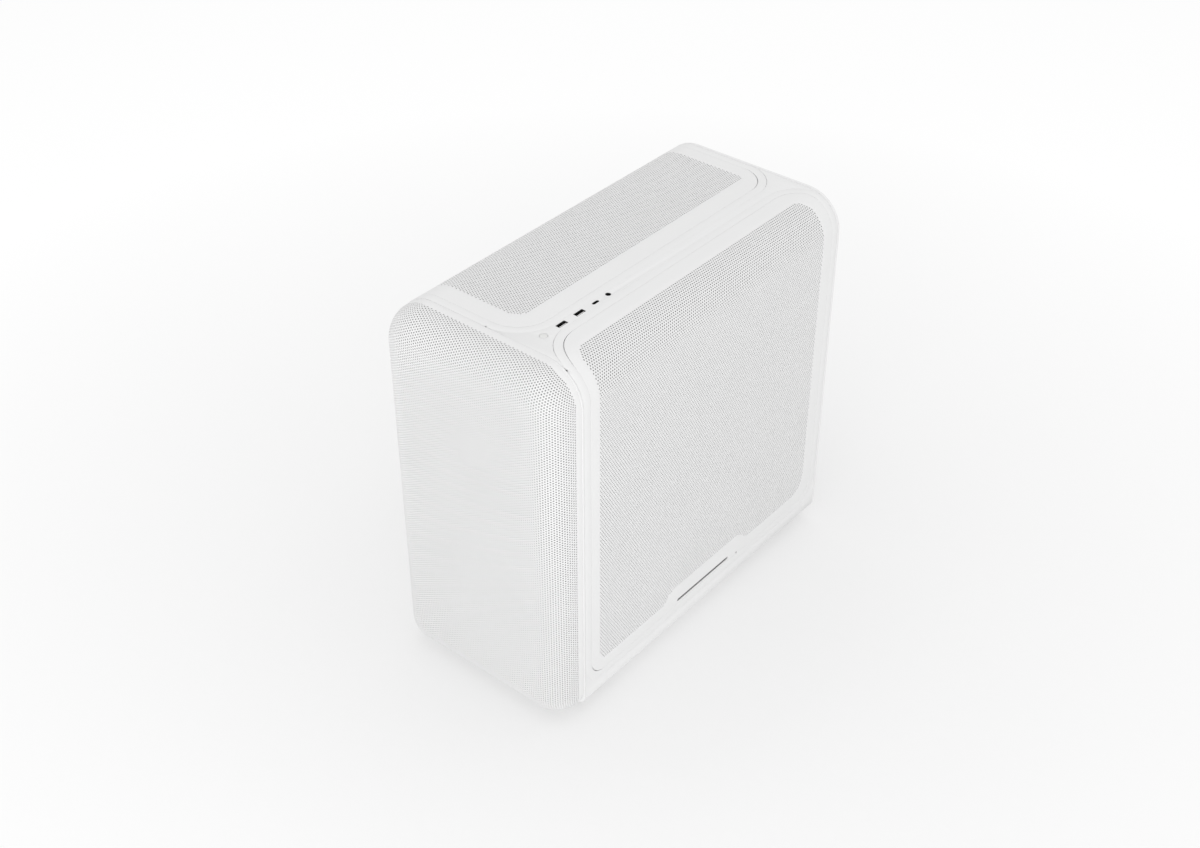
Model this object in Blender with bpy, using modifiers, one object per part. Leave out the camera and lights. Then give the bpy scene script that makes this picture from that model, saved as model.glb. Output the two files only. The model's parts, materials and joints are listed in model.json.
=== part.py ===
"""Desktop computer tower: white sheet-metal body with wrap-round covers, and the working parts inside it.

Metres, +Z up. The origin is on the ground under the middle of the tower. The front faces -Y, and +X is
on the right of someone who looks at the front.
"""

from math import asin, cos, degrees, pi, radians, sin

import bmesh
import bpy
from mathutils import Matrix, Vector

MM = 0.001

# Driving sizes of the body
WIDTH = 246.8 * MM
DEPTH = 492.4 * MM
HEIGHT = 465.0 * MM
TOP_RADIUS = 44.0 * MM  # long upper edges of the body
BOTTOM_RADIUS = 12.7 * MM  # long lower edges of the body
BODY_BOTTOM = 16.0 * MM  # underside of the body above the ground
FRONT_DEPTH = 40.0 * MM  # how far the front cover stands before the body
FRONT_HALF_WIDTH = 122.4 * MM
FRONT_BOTTOM = 5.0 * MM  # the front cover hangs lower than the body
FRONT_ROLL = 34.0 * MM  # rounding of the front cover's edges
SKIN = 1.6 * MM  # sheet thickness of covers and rims
GAP = 0.4 * MM  # visible gap between neighbouring skins
CLEAR = 0.3 * MM  # clearance between touching pieces
TIP = 0.6 * MM  # width at which a pointed flare ends

HALF = WIDTH / 2
FRONT = -DEPTH / 2
BACK = DEPTH / 2
BODY_FRONT = FRONT + FRONT_DEPTH + CLEAR
FLAT_HALF = HALF - TOP_RADIUS  # half the flat width of the top
ROLL_LENGTH = TOP_RADIUS * pi / 2  # developed length of an upper edge

# Covers: where their edges lie. "across" is the developed distance from the middle of the top.
SPINE_MIDDLE = 50.5 * MM  # line of the ports
RIGHT_COVER_TOP = 66.5 * MM
LEFT_COVER_TOP = 35.0 * MM
COVER_BOTTOM = 50.4 * MM
RIM = 10.0 * MM  # width of the rim round each cover
FRONT_LIP = 2.1 * MM  # depth of the frame before the rims
REAR_LIP = 3.8 * MM  # depth of the rounded rear frame
FRAME_WIDTH = 9.0 * MM  # width of both frames, inwards from the skin
COVER_FRONT = BODY_FRONT + FRONT_LIP + CLEAR + RIM + GAP / 2
COVER_BACK = BACK - REAR_LIP - CLEAR - RIM - GAP / 2
FRONT_CORNER = 40.5 * MM
BACK_CORNER = 36.0 * MM
LOW_FRONT_CORNER = 20.0 * MM
LOW_BACK_CORNER = 28.0 * MM
PULL_SLOT = (99.0 * MM, 3.4 * MM)  # finger slot at the foot of each side
PULL_SLOT_Y = FRONT + 256.7 * MM
PULL_SLOT_Z = 56.4 * MM
LOCK_HOLE_Y = FRONT + 323.5 * MM
LOCK_HOLE_Z = 52.8 * MM
LOCK_HOLE_RADIUS = 1.6 * MM

# Ports and button on the top strip, as distances behind the front
BUTTON_Y = FRONT + 67.5 * MM
BUTTON_RADIUS = 4.6 * MM
BUTTON_TRAVEL = 1.5 * MM
USB_A_Y = (FRONT + 94.9 * MM, FRONT + 122.3 * MM)
USB_A_SIZE = (5.6 * MM, 13.2 * MM, 14.0 * MM)
USB_A_BORE = 11.0 * MM
USB_A_TONGUE = (1.8 * MM, 11.2 * MM)
USB_C_Y = FRONT + 147.4 * MM
USB_C_SIZE = (3.2 * MM, 9.2 * MM, 10.0 * MM)
USB_C_BORE = 7.0 * MM
USB_C_TONGUE = (0.7 * MM, 6.4 * MM)
JACK_Y = FRONT + 167.5 * MM
JACK_RADIUS = 2.9 * MM
JACK_BORE = 1.8 * MM
JACK_DEPTH = 12.0 * MM
PORT_SINK = 0.2 * MM  # how far the sockets' mouths lie under the top
PORT_BOARD_DROP = 17.0 * MM  # the board's upper face under the top

# Front cover's inside
COVER_FRAME_DEPTH = 6.0 * MM
COVER_FRAME_INSET = 13.0 * MM
COVER_FRAME_Y = FRONT + FRONT_DEPTH - 4.0 * MM
COVER_RIB_X = 62.0 * MM
COVER_RIB_WIDTH = 4.0 * MM
DUST_FILTER_INSET = 17.0 * MM
DUST_FILTER_DEPTH = 1.0 * MM

# Inner structure
SHEET = 1.2 * MM  # sheet thickness of the inner chassis
RAIL_REACH = 32.0 * MM  # how far back the rails of the front fans go
WALL_Y = BACK - 8.0 * MM  # outer face of the rear wall
TRAY_X = 86.0 * MM
SHROUD_Z = 112.0 * MM
FAN_SIZE = 120.0 * MM
FAN_DEPTH = 25.0 * MM
FAN_PITCH = 121.0 * MM
FRONT_FAN_Y = BODY_FRONT + 18.0 * MM  # middle of the front fans
FRONT_FAN_LOW_Z = 120.0 * MM
REAR_FAN_Z = 368.0 * MM
REAR_FAN_X = -28.0 * MM
FAN_CORNER = 5.0 * MM
FAN_WALL = 2.0 * MM  # between the duct and the flat sides
FAN_BOSS = (20.0 * MM, 4.0 * MM)  # radius and depth of the motor's seat
STRUT = (4.0 * MM, 3.0 * MM)
ROTOR_HUB = 19.0 * MM
ROTOR_DEPTH = 17.0 * MM
ROTOR_SHIFT = 2.6 * MM  # rotors stand before the middle of their frames
BLADES = 7
BLADE_THICKNESS = 1.4 * MM
BLADE_PITCH = 28  # degrees
GRILLE_PITCH = 22.0 * MM
GRILLE_HOLE = 10.8 * MM
BOARD_X = 79.0 * MM  # middle of the motherboard's thickness
BOARD_SIZE = (1.6 * MM, 244.0 * MM, 305.0 * MM)
BOARD_BACK = WALL_Y - 3.0 * MM
BOARD_TOP = 446.0 * MM
SLOT_PITCH = 20.32 * MM
BLANK_WIDTH = 18.6 * MM
FIRST_SLOT_Z = 269.0 * MM
SLOT_LENGTH = 112.0 * MM
SLOT_OUTER_X = 72.0 * MM
PSU_SIZE = (150.0 * MM, 160.0 * MM, 86.0 * MM)
PSU_LOW_Z = 20.0 * MM
PSU_FAN_Y = 152.0 * MM
PSU_AIR_RADIUS = 58.0 * MM
PSU_ROTOR_RADIUS = 54.0 * MM
TUB_AIR_RADIUS = 62.0 * MM
PORT_WINDOW = ((37.0 * MM, 286.0 * MM), (81.0 * MM, 444.0 * MM))
PSU_WINDOW = ((-69.0 * MM, 26.0 * MM), (69.0 * MM, 100.0 * MM))
TRAY_FRONT = -165.0 * MM  # front edge of the motherboard tray and of the supply's shelf
TRAY_TOP = 454.0 * MM
CABLE_SLOT_Z = (150.0 * MM, 270.0 * MM, 385.0 * MM)
CABLE_SLOT_Y = (-30.0 * MM, -14.0 * MM)
CABLE_SLOT_LENGTH = 42.0 * MM
FOOT_HEIGHT = BODY_BOTTOM - CLEAR
FOOT_RADIUS = 16.0 * MM
FOOT_X = 92.0 * MM
FOOT_FRONT_Y = FRONT + 71.0 * MM
FOOT_REAR_Y = BACK - 34.0 * MM

for old in list(bpy.data.objects):
    bpy.data.objects.remove(old, do_unlink=True)

tower = bpy.data.collections.new("desktop_tower")
bpy.context.scene.collection.children.link(tower)
cutters = bpy.data.collections.new("cutters")
bpy.context.scene.collection.children.link(cutters)
cutters.hide_render = True


# ---------------------------------------------------------------- materials


def material(name, colour, roughness, metallic=0.0):
    made = bpy.data.materials.get(name)
    if made:
        return made
    made = bpy.data.materials.new(name)
    made.use_nodes = True
    shader = made.node_tree.nodes["Principled BSDF"]
    shader.inputs["Base Color"].default_value = (*colour, 1.0)
    shader.inputs["Roughness"].default_value = roughness
    shader.inputs["Metallic"].default_value = metallic
    made.diffuse_color = (*colour, 1.0)
    return made


WHITE_PAINT = material("white_paint", (0.86, 0.86, 0.85), 0.5)
INNER_STEEL = material("inner_steel", (0.72, 0.72, 0.72), 0.45, 0.2)
WHITE_PLASTIC = material("white_plastic", (0.82, 0.82, 0.81), 0.45)
DARK_PLASTIC = material("dark_plastic", (0.03, 0.03, 0.032), 0.5)
RUBBER = material("rubber", (0.05, 0.05, 0.05), 0.85)
BOARD = material("circuit_board", (0.02, 0.035, 0.025), 0.45)
STEEL = material("plated_steel", (0.6, 0.6, 0.6), 0.35, 0.9)
ALUMINIUM = material("aluminium_fins", (0.75, 0.75, 0.76), 0.35, 0.9)
FILTER = material("filter_cloth", (0.7, 0.7, 0.7), 0.8)


# ---------------------------------------------------------------- shape helpers


def own(obj, name, finish, where=tower):
    """Names an object, gives it its material, and puts it in one collection only."""
    obj.name = name
    obj.data.name = name
    for held in list(obj.users_collection):
        held.objects.unlink(obj)
    where.objects.link(obj)
    if finish:
        obj.data.materials.clear()
        obj.data.materials.append(finish)
    if where is cutters:
        obj.hide_render = True
        obj.display_type = "WIRE"
    return obj


def mesh_object(name, bm, finish, where=tower):
    if bm.calc_volume(signed=True) < 0:
        bmesh.ops.reverse_faces(bm, faces=bm.faces)
    data = bpy.data.meshes.new(name)
    bm.to_mesh(data)
    bm.free()
    return own(bpy.data.objects.new(name, data), name, finish, where)


def box(name, low, high, finish, where=tower):
    """A box between two corners, its origin at its middle."""
    low, high = Vector(low), Vector(high)
    bm = bmesh.new()
    bmesh.ops.create_cube(bm, size=1.0)
    bmesh.ops.scale(bm, vec=high - low, verts=bm.verts)
    made = mesh_object(name, bm, finish, where)
    made.location = (low + high) / 2
    return made


TURNS = {
    "X": Matrix.Rotation(radians(90), 4, "Y"),
    "Y": Matrix.Rotation(radians(90), 4, "X"),
    "Z": Matrix.Identity(4),
}


def cylinder(name, centre, radius, length, axis, finish, where=tower, sides=32):
    bm = bmesh.new()
    bmesh.ops.create_cone(
        bm, cap_ends=True, segments=sides, radius1=radius, radius2=radius, depth=length
    )
    bmesh.ops.transform(bm, matrix=TURNS[axis], verts=bm.verts)
    made = mesh_object(name, bm, finish, where)
    made.location = centre
    smooth(made)
    return made


def smooth(obj, angle=35):
    obj.data.shade_smooth()
    obj.data.set_sharp_from_angle(angle=radians(angle))


def boolean(obj, other, operation="DIFFERENCE"):
    modifier = obj.modifiers.new(operation.lower(), "BOOLEAN")
    modifier.operation = operation
    modifier.object = other
    return modifier


def bevel(obj, width, segments=2, angle=50):
    modifier = obj.modifiers.new("bevel", "BEVEL")
    modifier.width = width
    modifier.segments = segments
    modifier.limit_method = "ANGLE"
    modifier.angle_limit = radians(angle)
    return modifier


def bake(obj):
    """Turns an object with its modifiers into a plain mesh."""
    bpy.context.view_layer.update()
    graph = bpy.context.evaluated_depsgraph_get()
    data = bpy.data.meshes.new_from_object(obj.evaluated_get(graph))
    data.name = obj.name
    obj.modifiers.clear()
    obj.data = data
    return obj


def arc(centre, radius, start, end, steps):
    """Points of an arc in degrees, both ends included."""
    points = []
    for k in range(steps + 1):
        a = radians(start + (end - start) * k / steps)
        points.append((centre[0] + radius * cos(a), centre[1] + radius * sin(a)))
    return points


def rounded_outline(low, high, radii, steps=8):
    """A rounded rectangle, with radii at low-left, low-right, high-right and high-left."""
    (x0, y0), (x1, y1) = low, high
    a, b, c, d = radii
    return (
        arc((x0 + a, y0 + a), a, 180, 270, steps)
        + arc((x1 - b, y0 + b), b, 270, 360, steps)
        + arc((x1 - c, y1 - c), c, 0, 90, steps)
        + arc((x0 + d, y1 - d), d, 90, 180, steps)
    )


def plate_mesh(outlines, thickness):
    """A flat plate in its own XY plane, from an outer outline and the outlines of its holes."""
    curve = bpy.data.curves.new("plate", "CURVE")
    curve.dimensions = "2D"
    curve.fill_mode = "BOTH"
    curve.extrude = thickness / 2
    for outline in outlines:
        spline = curve.splines.new("POLY")
        spline.points.add(len(outline) - 1)
        for point, (x, y) in zip(spline.points, outline):
            point.co = (x, y, 0, 1)
        spline.use_cyclic_u = True
    source = bpy.data.objects.new("plate", curve)
    bpy.context.scene.collection.objects.link(source)
    bpy.context.view_layer.update()
    graph = bpy.context.evaluated_depsgraph_get()
    data = bpy.data.meshes.new_from_object(source.evaluated_get(graph))
    bpy.data.objects.remove(source)
    bpy.data.curves.remove(curve)
    bm = bmesh.new()
    bm.from_mesh(data)
    bpy.data.meshes.remove(data)
    bmesh.ops.remove_doubles(bm, verts=bm.verts, dist=0.00001)
    bmesh.ops.recalc_face_normals(bm, faces=bm.faces)
    return bm


# Each turns a plate's own X, Y and thickness to the row's axes: "XZ" stands across the tower.
PLANES = {
    "XY": Matrix.Identity(4),
    "XZ": Matrix(((1, 0, 0, 0), (0, 0, -1, 0), (0, 1, 0, 0), (0, 0, 0, 1))),
    "YZ": Matrix(((0, 0, 1, 0), (1, 0, 0, 0), (0, 1, 0, 0), (0, 0, 0, 1))),
}


def plate(name, outlines, thickness, plane, middle, finish, where=tower):
    """A flat plate in a main plane. middle is where its mid-thickness lies on the third axis."""
    bm = plate_mesh(outlines, thickness)
    bmesh.ops.transform(bm, matrix=PLANES[plane], verts=bm.verts)
    shift = {"XY": (0, 0, middle), "XZ": (0, middle, 0), "YZ": (middle, 0, 0)}[plane]
    bmesh.ops.translate(bm, vec=shift, verts=bm.verts)
    return mesh_object(name, bm, finish, where)


def rectangle(x0, y0, x1, y1):
    return [(x0, y0), (x1, y0), (x1, y1), (x0, y1)]


def circle(x, y, radius, sides=32):
    return arc((x, y), radius, 0, 360 - 360 / sides, sides - 1)


# ---------------------------------------------------------------- bent sheet


def upper_bend(across, depth):
    """Where a point of the developed sheet lies on the body: over the top and down one side."""
    side = 1 if across >= 0 else -1
    rest = abs(across)
    if rest <= FLAT_HALF:
        x, z, out = rest, HEIGHT, (0, 1)
    elif rest <= FLAT_HALF + ROLL_LENGTH:
        turn = (rest - FLAT_HALF) / TOP_RADIUS
        x = FLAT_HALF + TOP_RADIUS * sin(turn)
        z = HEIGHT - TOP_RADIUS + TOP_RADIUS * cos(turn)
        out = (sin(turn), cos(turn))
    else:
        x, z, out = HALF, HEIGHT - TOP_RADIUS - (rest - FLAT_HALF - ROLL_LENGTH), (1, 0)
    return side * (x - depth * out[0]), z - depth * out[1]


def lower_bend(across, depth):
    """The same for the tub: across counts from the middle of the underside."""
    side = 1 if across >= 0 else -1
    rest = abs(across)
    flat, roll = HALF - BOTTOM_RADIUS, BOTTOM_RADIUS * pi / 2
    if rest <= flat:
        x, z, out = rest, BODY_BOTTOM, (0, -1)
    elif rest <= flat + roll:
        turn = (rest - flat) / BOTTOM_RADIUS
        x = flat + BOTTOM_RADIUS * sin(turn)
        z = BODY_BOTTOM + BOTTOM_RADIUS - BOTTOM_RADIUS * cos(turn)
        out = (sin(turn), -cos(turn))
    else:
        x, z, out = HALF, BODY_BOTTOM + BOTTOM_RADIUS + (rest - flat - roll), (1, 0)
    return side * (x - depth * out[0]), z - depth * out[1]


def across_at(z):
    """Developed distance from the middle of the top to height z on a side."""
    return FLAT_HALF + ROLL_LENGTH + HEIGHT - TOP_RADIUS - z


def bent_sheet(name, outlines, thickness, bend, stations, finish):
    """A flat blank, drawn as (across, y), that is bent over the body's long edges."""
    bm = plate_mesh(outlines, thickness)
    for station in stations:
        bmesh.ops.bisect_plane(
            bm,
            geom=bm.verts[:] + bm.edges[:] + bm.faces[:],
            plane_co=(station, 0, 0),
            plane_no=(1, 0, 0),
        )
    bmesh.ops.triangulate(bm, faces=bm.faces)
    for vert in bm.verts:
        across, y, height = vert.co
        x, z = bend(across, thickness / 2 - height)
        vert.co = (x, y, z)
    bmesh.ops.recalc_face_normals(bm, faces=bm.faces)
    made = mesh_object(name, bm, finish)
    smooth(made)
    return made


def bend_stations(flat, radius, steps):
    """Lines across the blank at which it bends: where each roll starts and ends, and between."""
    found = []
    for k in range(steps + 1):
        place = flat + radius * pi / 2 * k / steps
        found += [place, -place]
    return found


UPPER_STATIONS = bend_stations(FLAT_HALF, TOP_RADIUS, 9)
LOWER_STATIONS = bend_stations(HALF - BOTTOM_RADIUS, BOTTOM_RADIUS, 4)


def mirrored(outline, side):
    return outline if side > 0 else [(-x, y) for x, y in reversed(outline)]


def cover_outline(top, side, grow):
    """A cover's outline on the blank, grown by the rim or by half a gap."""
    return mirrored(
        rounded_outline(
            (top - grow, COVER_FRONT - grow),
            (across_at(COVER_BOTTOM) + grow, COVER_BACK + grow),
            (
                FRONT_CORNER + grow,
                LOW_FRONT_CORNER + grow,
                LOW_BACK_CORNER + grow,
                BACK_CORNER + grow,
            ),
            10,
        ),
        side,
    )


def pull_slot_outline(side):
    length, height = PULL_SLOT
    middle = across_at(PULL_SLOT_Z)
    end = height * 0.49
    outline = rounded_outline(
        (middle - height / 2, PULL_SLOT_Y - length / 2),
        (middle + height / 2, PULL_SLOT_Y + length / 2),
        (end,) * 4,
        3,
    )
    return mirrored(outline, side)


def lock_hole_outline(side):
    return mirrored(circle(across_at(LOCK_HOLE_Z), LOCK_HOLE_Y, LOCK_HOLE_RADIUS, 10), side)


def make_covers():
    """The right cover wraps over the right edge; the left one goes on over the top as well."""
    for name, top, side in (
        ("right_side_cover", RIGHT_COVER_TOP, 1),
        ("left_and_top_cover", -LEFT_COVER_TOP, -1),
    ):
        outlines = [
            cover_outline(top, side, -GAP / 2),
            pull_slot_outline(side),
            lock_hole_outline(side),
        ]
        bent_sheet(name, outlines, SKIN, upper_bend, UPPER_STATIONS, WHITE_PAINT)
    for name, top, side in (
        ("right_rim", RIGHT_COVER_TOP, 1),
        ("left_rim", -LEFT_COVER_TOP, -1),
    ):
        outlines = [
            cover_outline(top, side, RIM - GAP / 2),
            cover_outline(top, side, GAP / 2),
        ]
        bent_sheet(name, outlines, SKIN, upper_bend, UPPER_STATIONS, WHITE_PAINT)


def make_spine():
    """The strip between the two rims, which carries the ports and flares out at both ends."""
    grow = RIM + GAP / 2
    left, right = LEFT_COVER_TOP + grow, RIGHT_COVER_TOP - grow
    reach = FRONT_CORNER + grow
    tip = degrees(asin(1 - TIP / reach))  # the flare stops while it is still that wide
    y = COVER_FRONT + FRONT_CORNER
    back_reach = BACK_CORNER + grow
    back_tip = degrees(asin(1 - TIP / back_reach))
    y_back = COVER_BACK - BACK_CORNER
    front_edge = y - reach
    back_edge = y_back + back_reach
    outline = (
        [(LEFT_COVER_TOP - FRONT_CORNER + reach * cos(radians(tip)), front_edge)]
        + [(RIGHT_COVER_TOP + FRONT_CORNER - reach * cos(radians(tip)), front_edge)]
        + arc((right + reach, y), reach, 180 + tip, 180, 8)
        + arc((right + back_reach, y_back), back_reach, 180, 180 - back_tip, 8)
        + [(RIGHT_COVER_TOP + BACK_CORNER - back_reach * cos(radians(back_tip)), back_edge)]
        + [(LEFT_COVER_TOP - BACK_CORNER + back_reach * cos(radians(back_tip)), back_edge)]
        + arc((left - back_reach, y_back), back_reach, back_tip, 0, 8)
        + arc((left - reach, y), reach, 0, -tip, 8)
    )
    width, length, _ = USB_A_SIZE
    holes = [circle(SPINE_MIDDLE, BUTTON_Y, BUTTON_RADIUS, 24)]
    for place in USB_A_Y:
        holes.append(
            rectangle(
                SPINE_MIDDLE - width / 2 - CLEAR,
                place - length / 2 - CLEAR,
                SPINE_MIDDLE + width / 2 + CLEAR,
                place + length / 2 + CLEAR,
            )
        )
    width, length, _ = USB_C_SIZE
    round_end = (width / 2 + CLEAR) * 0.99
    holes.append(
        rounded_outline(
            (SPINE_MIDDLE - width / 2 - CLEAR, USB_C_Y - length / 2 - CLEAR),
            (SPINE_MIDDLE + width / 2 + CLEAR, USB_C_Y + length / 2 + CLEAR),
            (round_end,) * 4,
            4,
        )
    )
    holes.append(circle(SPINE_MIDDLE, JACK_Y, JACK_RADIUS + CLEAR, 20))
    bent_sheet("top_spine", [outline] + holes, SKIN, upper_bend, UPPER_STATIONS, WHITE_PAINT)


def make_tub():
    """The underside. Its low walls meet the rims, and rise in a point at each of their corners."""
    grow = RIM + GAP / 2
    foot = HALF - BOTTOM_RADIUS + BOTTOM_RADIUS * pi / 2 - BODY_BOTTOM - BOTTOM_RADIUS
    front, back = BODY_FRONT + FRONT_LIP + CLEAR, BACK - REAR_LIP - CLEAR
    half = rim_foot_outline(foot, LOW_FRONT_CORNER + grow, LOW_BACK_CORNER + grow)
    outline = [(0, front)] + half + [(0, back)] + [(-x, y) for x, y in reversed(half)]
    outlines = [outline, circle(0, PSU_FAN_Y, TUB_AIR_RADIUS, 32)]
    bent_sheet("bottom_tub", outlines, SKIN, lower_bend, LOWER_STATIONS, WHITE_PAINT)


def rim_foot_outline(foot, front_reach, back_reach):
    """The tub's upper edge on one side, from front to back, round the rim's two lower corners."""
    y_front = COVER_FRONT + LOW_FRONT_CORNER
    y_back = COVER_BACK - LOW_BACK_CORNER
    x_front = foot + COVER_BOTTOM + LOW_FRONT_CORNER
    x_back = foot + COVER_BOTTOM + LOW_BACK_CORNER
    front_tip = degrees(asin(1 - TIP / front_reach))
    back_tip = degrees(asin(1 - TIP / back_reach))
    return (
        [(x_front - front_reach * cos(radians(front_tip)), y_front - front_reach)]
        + arc((x_front, y_front), front_reach, 180 + front_tip, 180, 7)
        + arc((x_back, y_back), back_reach, 180, 180 - back_tip, 7)
        + [(x_back - back_reach * cos(radians(back_tip)), y_back + back_reach)]
    )


def body_outline(inset, steps=9):
    """The body's section across the tower, drawn inset from its outer face."""
    top, low = TOP_RADIUS - inset, max(BOTTOM_RADIUS - inset, 1 * MM)
    return rounded_outline(
        (-HALF + inset, BODY_BOTTOM + inset),
        (HALF - inset, HEIGHT - inset),
        (low, low, top, top),
        steps,
    )


def make_rear():
    """The rounded frame at the back, and the wall set into it."""
    frame = plate(
        "rear_frame",
        [body_outline(0, 7), body_outline(FRAME_WIDTH, 5)],
        REAR_LIP,
        "XZ",
        BACK - REAR_LIP / 2,
        WHITE_PAINT,
    )
    rounded_back_edge(frame)

    slots = []
    for k in range(7):
        z = FIRST_SLOT_Z - k * SLOT_PITCH
        slots.append(
            rectangle(
                SLOT_OUTER_X - SLOT_LENGTH + 5 * MM, z - 7 * MM, SLOT_OUTER_X - 6 * MM, z + 7 * MM
            )
        )
    grille = [
        circle(REAR_FAN_X + x, REAR_FAN_Z + z, GRILLE_HOLE, 6)
        for x, z in hexagon_grid(GRILLE_PITCH, 2)
    ]
    port_window = rectangle(*PORT_WINDOW[0], *PORT_WINDOW[1])
    supply_window = rectangle(*PSU_WINDOW[0], *PSU_WINDOW[1])
    plate(
        "rear_wall",
        [body_outline(SKIN + 2 * CLEAR), port_window, supply_window] + slots + grille,
        SHEET,
        "XZ",
        WALL_Y - SHEET / 2,
        INNER_STEEL,
    )


def hexagon_grid(pitch, rings):
    """Centres of a hexagonal field of holes, with the given number of rings round the middle one."""
    found = []
    for row in range(-rings, rings + 1):
        count = 2 * rings + 1 - abs(row)
        for k in range(count):
            found.append(((k - (count - 1) / 2) * pitch, row * pitch * sin(pi / 3)))
    return found


def rounded_back_edge(frame):
    """Rounds the outer edge at the back with a bevel held to that edge."""
    data = frame.data
    weight = data.attributes.new("bevel_weight_edge", "FLOAT", "EDGE")
    for edge in data.edges:
        ends = [data.vertices[v].co for v in edge.vertices]
        at_back = all(abs(p.y - BACK) < 0.01 * MM for p in ends)
        outside = all(on_body_skin(p.x, p.z) for p in ends)
        weight.data[edge.index].value = 1.0 if at_back and outside else 0.0
    modifier = frame.modifiers.new("bevel", "BEVEL")
    modifier.limit_method = "WEIGHT"
    modifier.width = 3.2 * MM
    modifier.segments = 3
    smooth(frame, 40)


def on_body_skin(x, z):
    """True for a point on the body's outer section."""
    x = abs(x)
    if z > HEIGHT - TOP_RADIUS and x > FLAT_HALF:
        reach = Vector((x - FLAT_HALF, z - HEIGHT + TOP_RADIUS)).length
        return abs(reach - TOP_RADIUS) < 0.05 * MM
    if z < BODY_BOTTOM + BOTTOM_RADIUS and x > HALF - BOTTOM_RADIUS:
        reach = Vector((x - HALF + BOTTOM_RADIUS, z - BODY_BOTTOM - BOTTOM_RADIUS)).length
        return abs(reach - BOTTOM_RADIUS) < 0.05 * MM
    near = 0.05 * MM
    return abs(x - HALF) < near or abs(z - HEIGHT) < near or abs(z - BODY_BOTTOM) < near


# ---------------------------------------------------------------- front cover


def front_section(inset, y):
    """The front cover's outline at one depth, inset from its outer face."""
    top = TOP_RADIUS - inset
    low = FRONT_ROLL + 0.6 * MM - inset
    outline = rounded_outline(
        (-FRONT_HALF_WIDTH + inset, FRONT_BOTTOM + inset),
        (FRONT_HALF_WIDTH - inset, HEIGHT - inset),
        (low, low, top, top),
        6,
    )
    return [(x, y, z) for x, z in outline]


def rolled_sections(inset, steps):
    """Sections from the joint with the body to the flat front, over the rolled edge."""
    radius = FRONT_ROLL - inset
    sections = [front_section(inset, FRONT + FRONT_DEPTH)]
    for k in range(steps + 1):
        turn = pi / 2 * k / steps
        sections.append(
            front_section(
                inset + radius - radius * cos(turn), FRONT + inset + radius - radius * sin(turn)
            )
        )
    return sections


def band(bm, first, second):
    """Quads between two rings of the same number of points."""
    for k in range(len(first)):
        n = (k + 1) % len(first)
        bm.faces.new((first[k], first[n], second[n], second[k]))


def make_front_cover():
    """A deep-drawn skin: flat front, edges rolled back to the body all round."""
    bm = bmesh.new()
    outer = [[bm.verts.new(p) for p in section] for section in rolled_sections(0, 7)]
    inner = [[bm.verts.new(p) for p in section] for section in rolled_sections(SKIN, 7)]
    for rings in (outer, inner):
        for first, second in zip(rings, rings[1:]):
            band(bm, first, second)
        bm.faces.new(rings[-1])
    band(bm, outer[0], inner[0])
    bmesh.ops.recalc_face_normals(bm, faces=bm.faces)
    smooth(mesh_object("front_cover_skin", bm, WHITE_PAINT), 40)

    outer_ring = [(x, z) for x, _, z in front_section(SKIN + CLEAR, 0)]
    inner_ring = [(x, z) for x, _, z in front_section(COVER_FRAME_INSET, 0)]
    frame = plate(
        "front_cover_frame",
        [outer_ring, inner_ring],
        COVER_FRAME_DEPTH,
        "XZ",
        COVER_FRAME_Y,
        WHITE_PLASTIC,
    )
    half_depth, half_width = COVER_FRAME_DEPTH / 2, COVER_RIB_WIDTH / 2
    for side in (-1, 1):
        rib = box(
            f"rib_cutter_{side + 1}",
            (side * COVER_RIB_X - half_width, COVER_FRAME_Y - half_depth, FRONT_BOTTOM + 8 * MM),
            (side * COVER_RIB_X + half_width, COVER_FRAME_Y + half_depth, HEIGHT - 8 * MM),
            None,
            cutters,
        )
        boolean(frame, rib, "UNION")
    filter_ring = [(x, z) for x, _, z in front_section(DUST_FILTER_INSET, 0)]
    filter_y = COVER_FRAME_Y - half_depth - CLEAR - DUST_FILTER_DEPTH / 2
    plate("front_dust_filter", [filter_ring], DUST_FILTER_DEPTH, "XZ", filter_y, FILTER)


# ---------------------------------------------------------------- fans


def rotor_mesh(radius, hub_radius, depth):
    """A hub with pitched blades, its axis along Z through the origin."""
    root = hub_radius * 0.8  # the blades start inside the hub
    hub = cylinder("rotor", (0, 0, 0), hub_radius, depth, "Z", DARK_PLASTIC, cutters, 14)
    reach = radius - root
    for k in range(BLADES):
        bm = bmesh.new()
        bmesh.ops.create_cube(bm, size=1.0)
        bmesh.ops.scale(bm, vec=(reach, radius * 0.62, BLADE_THICKNESS), verts=bm.verts)
        for vert in bm.verts:
            if vert.co.x < 0:
                vert.co.y *= 0.45
        bmesh.ops.translate(bm, vec=(root + reach / 2, 0, 0), verts=bm.verts)
        bmesh.ops.rotate(bm, matrix=Matrix.Rotation(radians(BLADE_PITCH), 3, "X"), verts=bm.verts)
        bmesh.ops.rotate(
            bm, matrix=Matrix.Rotation(2 * pi * k / BLADES, 3, "Z"), verts=bm.verts
        )
        boolean(hub, mesh_object(f"blade_{k}", bm, None, cutters), "UNION")
    sweep = cylinder("blade_sweep", (0, 0, 0), radius, radius, "Z", None, cutters, 28)
    boolean(hub, sweep, "INTERSECT")
    bake(hub)
    data = hub.data
    bpy.data.objects.remove(hub)
    for old in [o for o in cutters.objects if o.name.startswith("blade_")]:
        bpy.data.objects.remove(old)
    return data


def place_rotor(name, data, centre, axis):
    rotor = bpy.data.objects.new(name, data)
    tower.objects.link(rotor)
    rotor.matrix_world = Matrix.Translation(centre) @ TURNS[axis]
    return rotor


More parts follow.
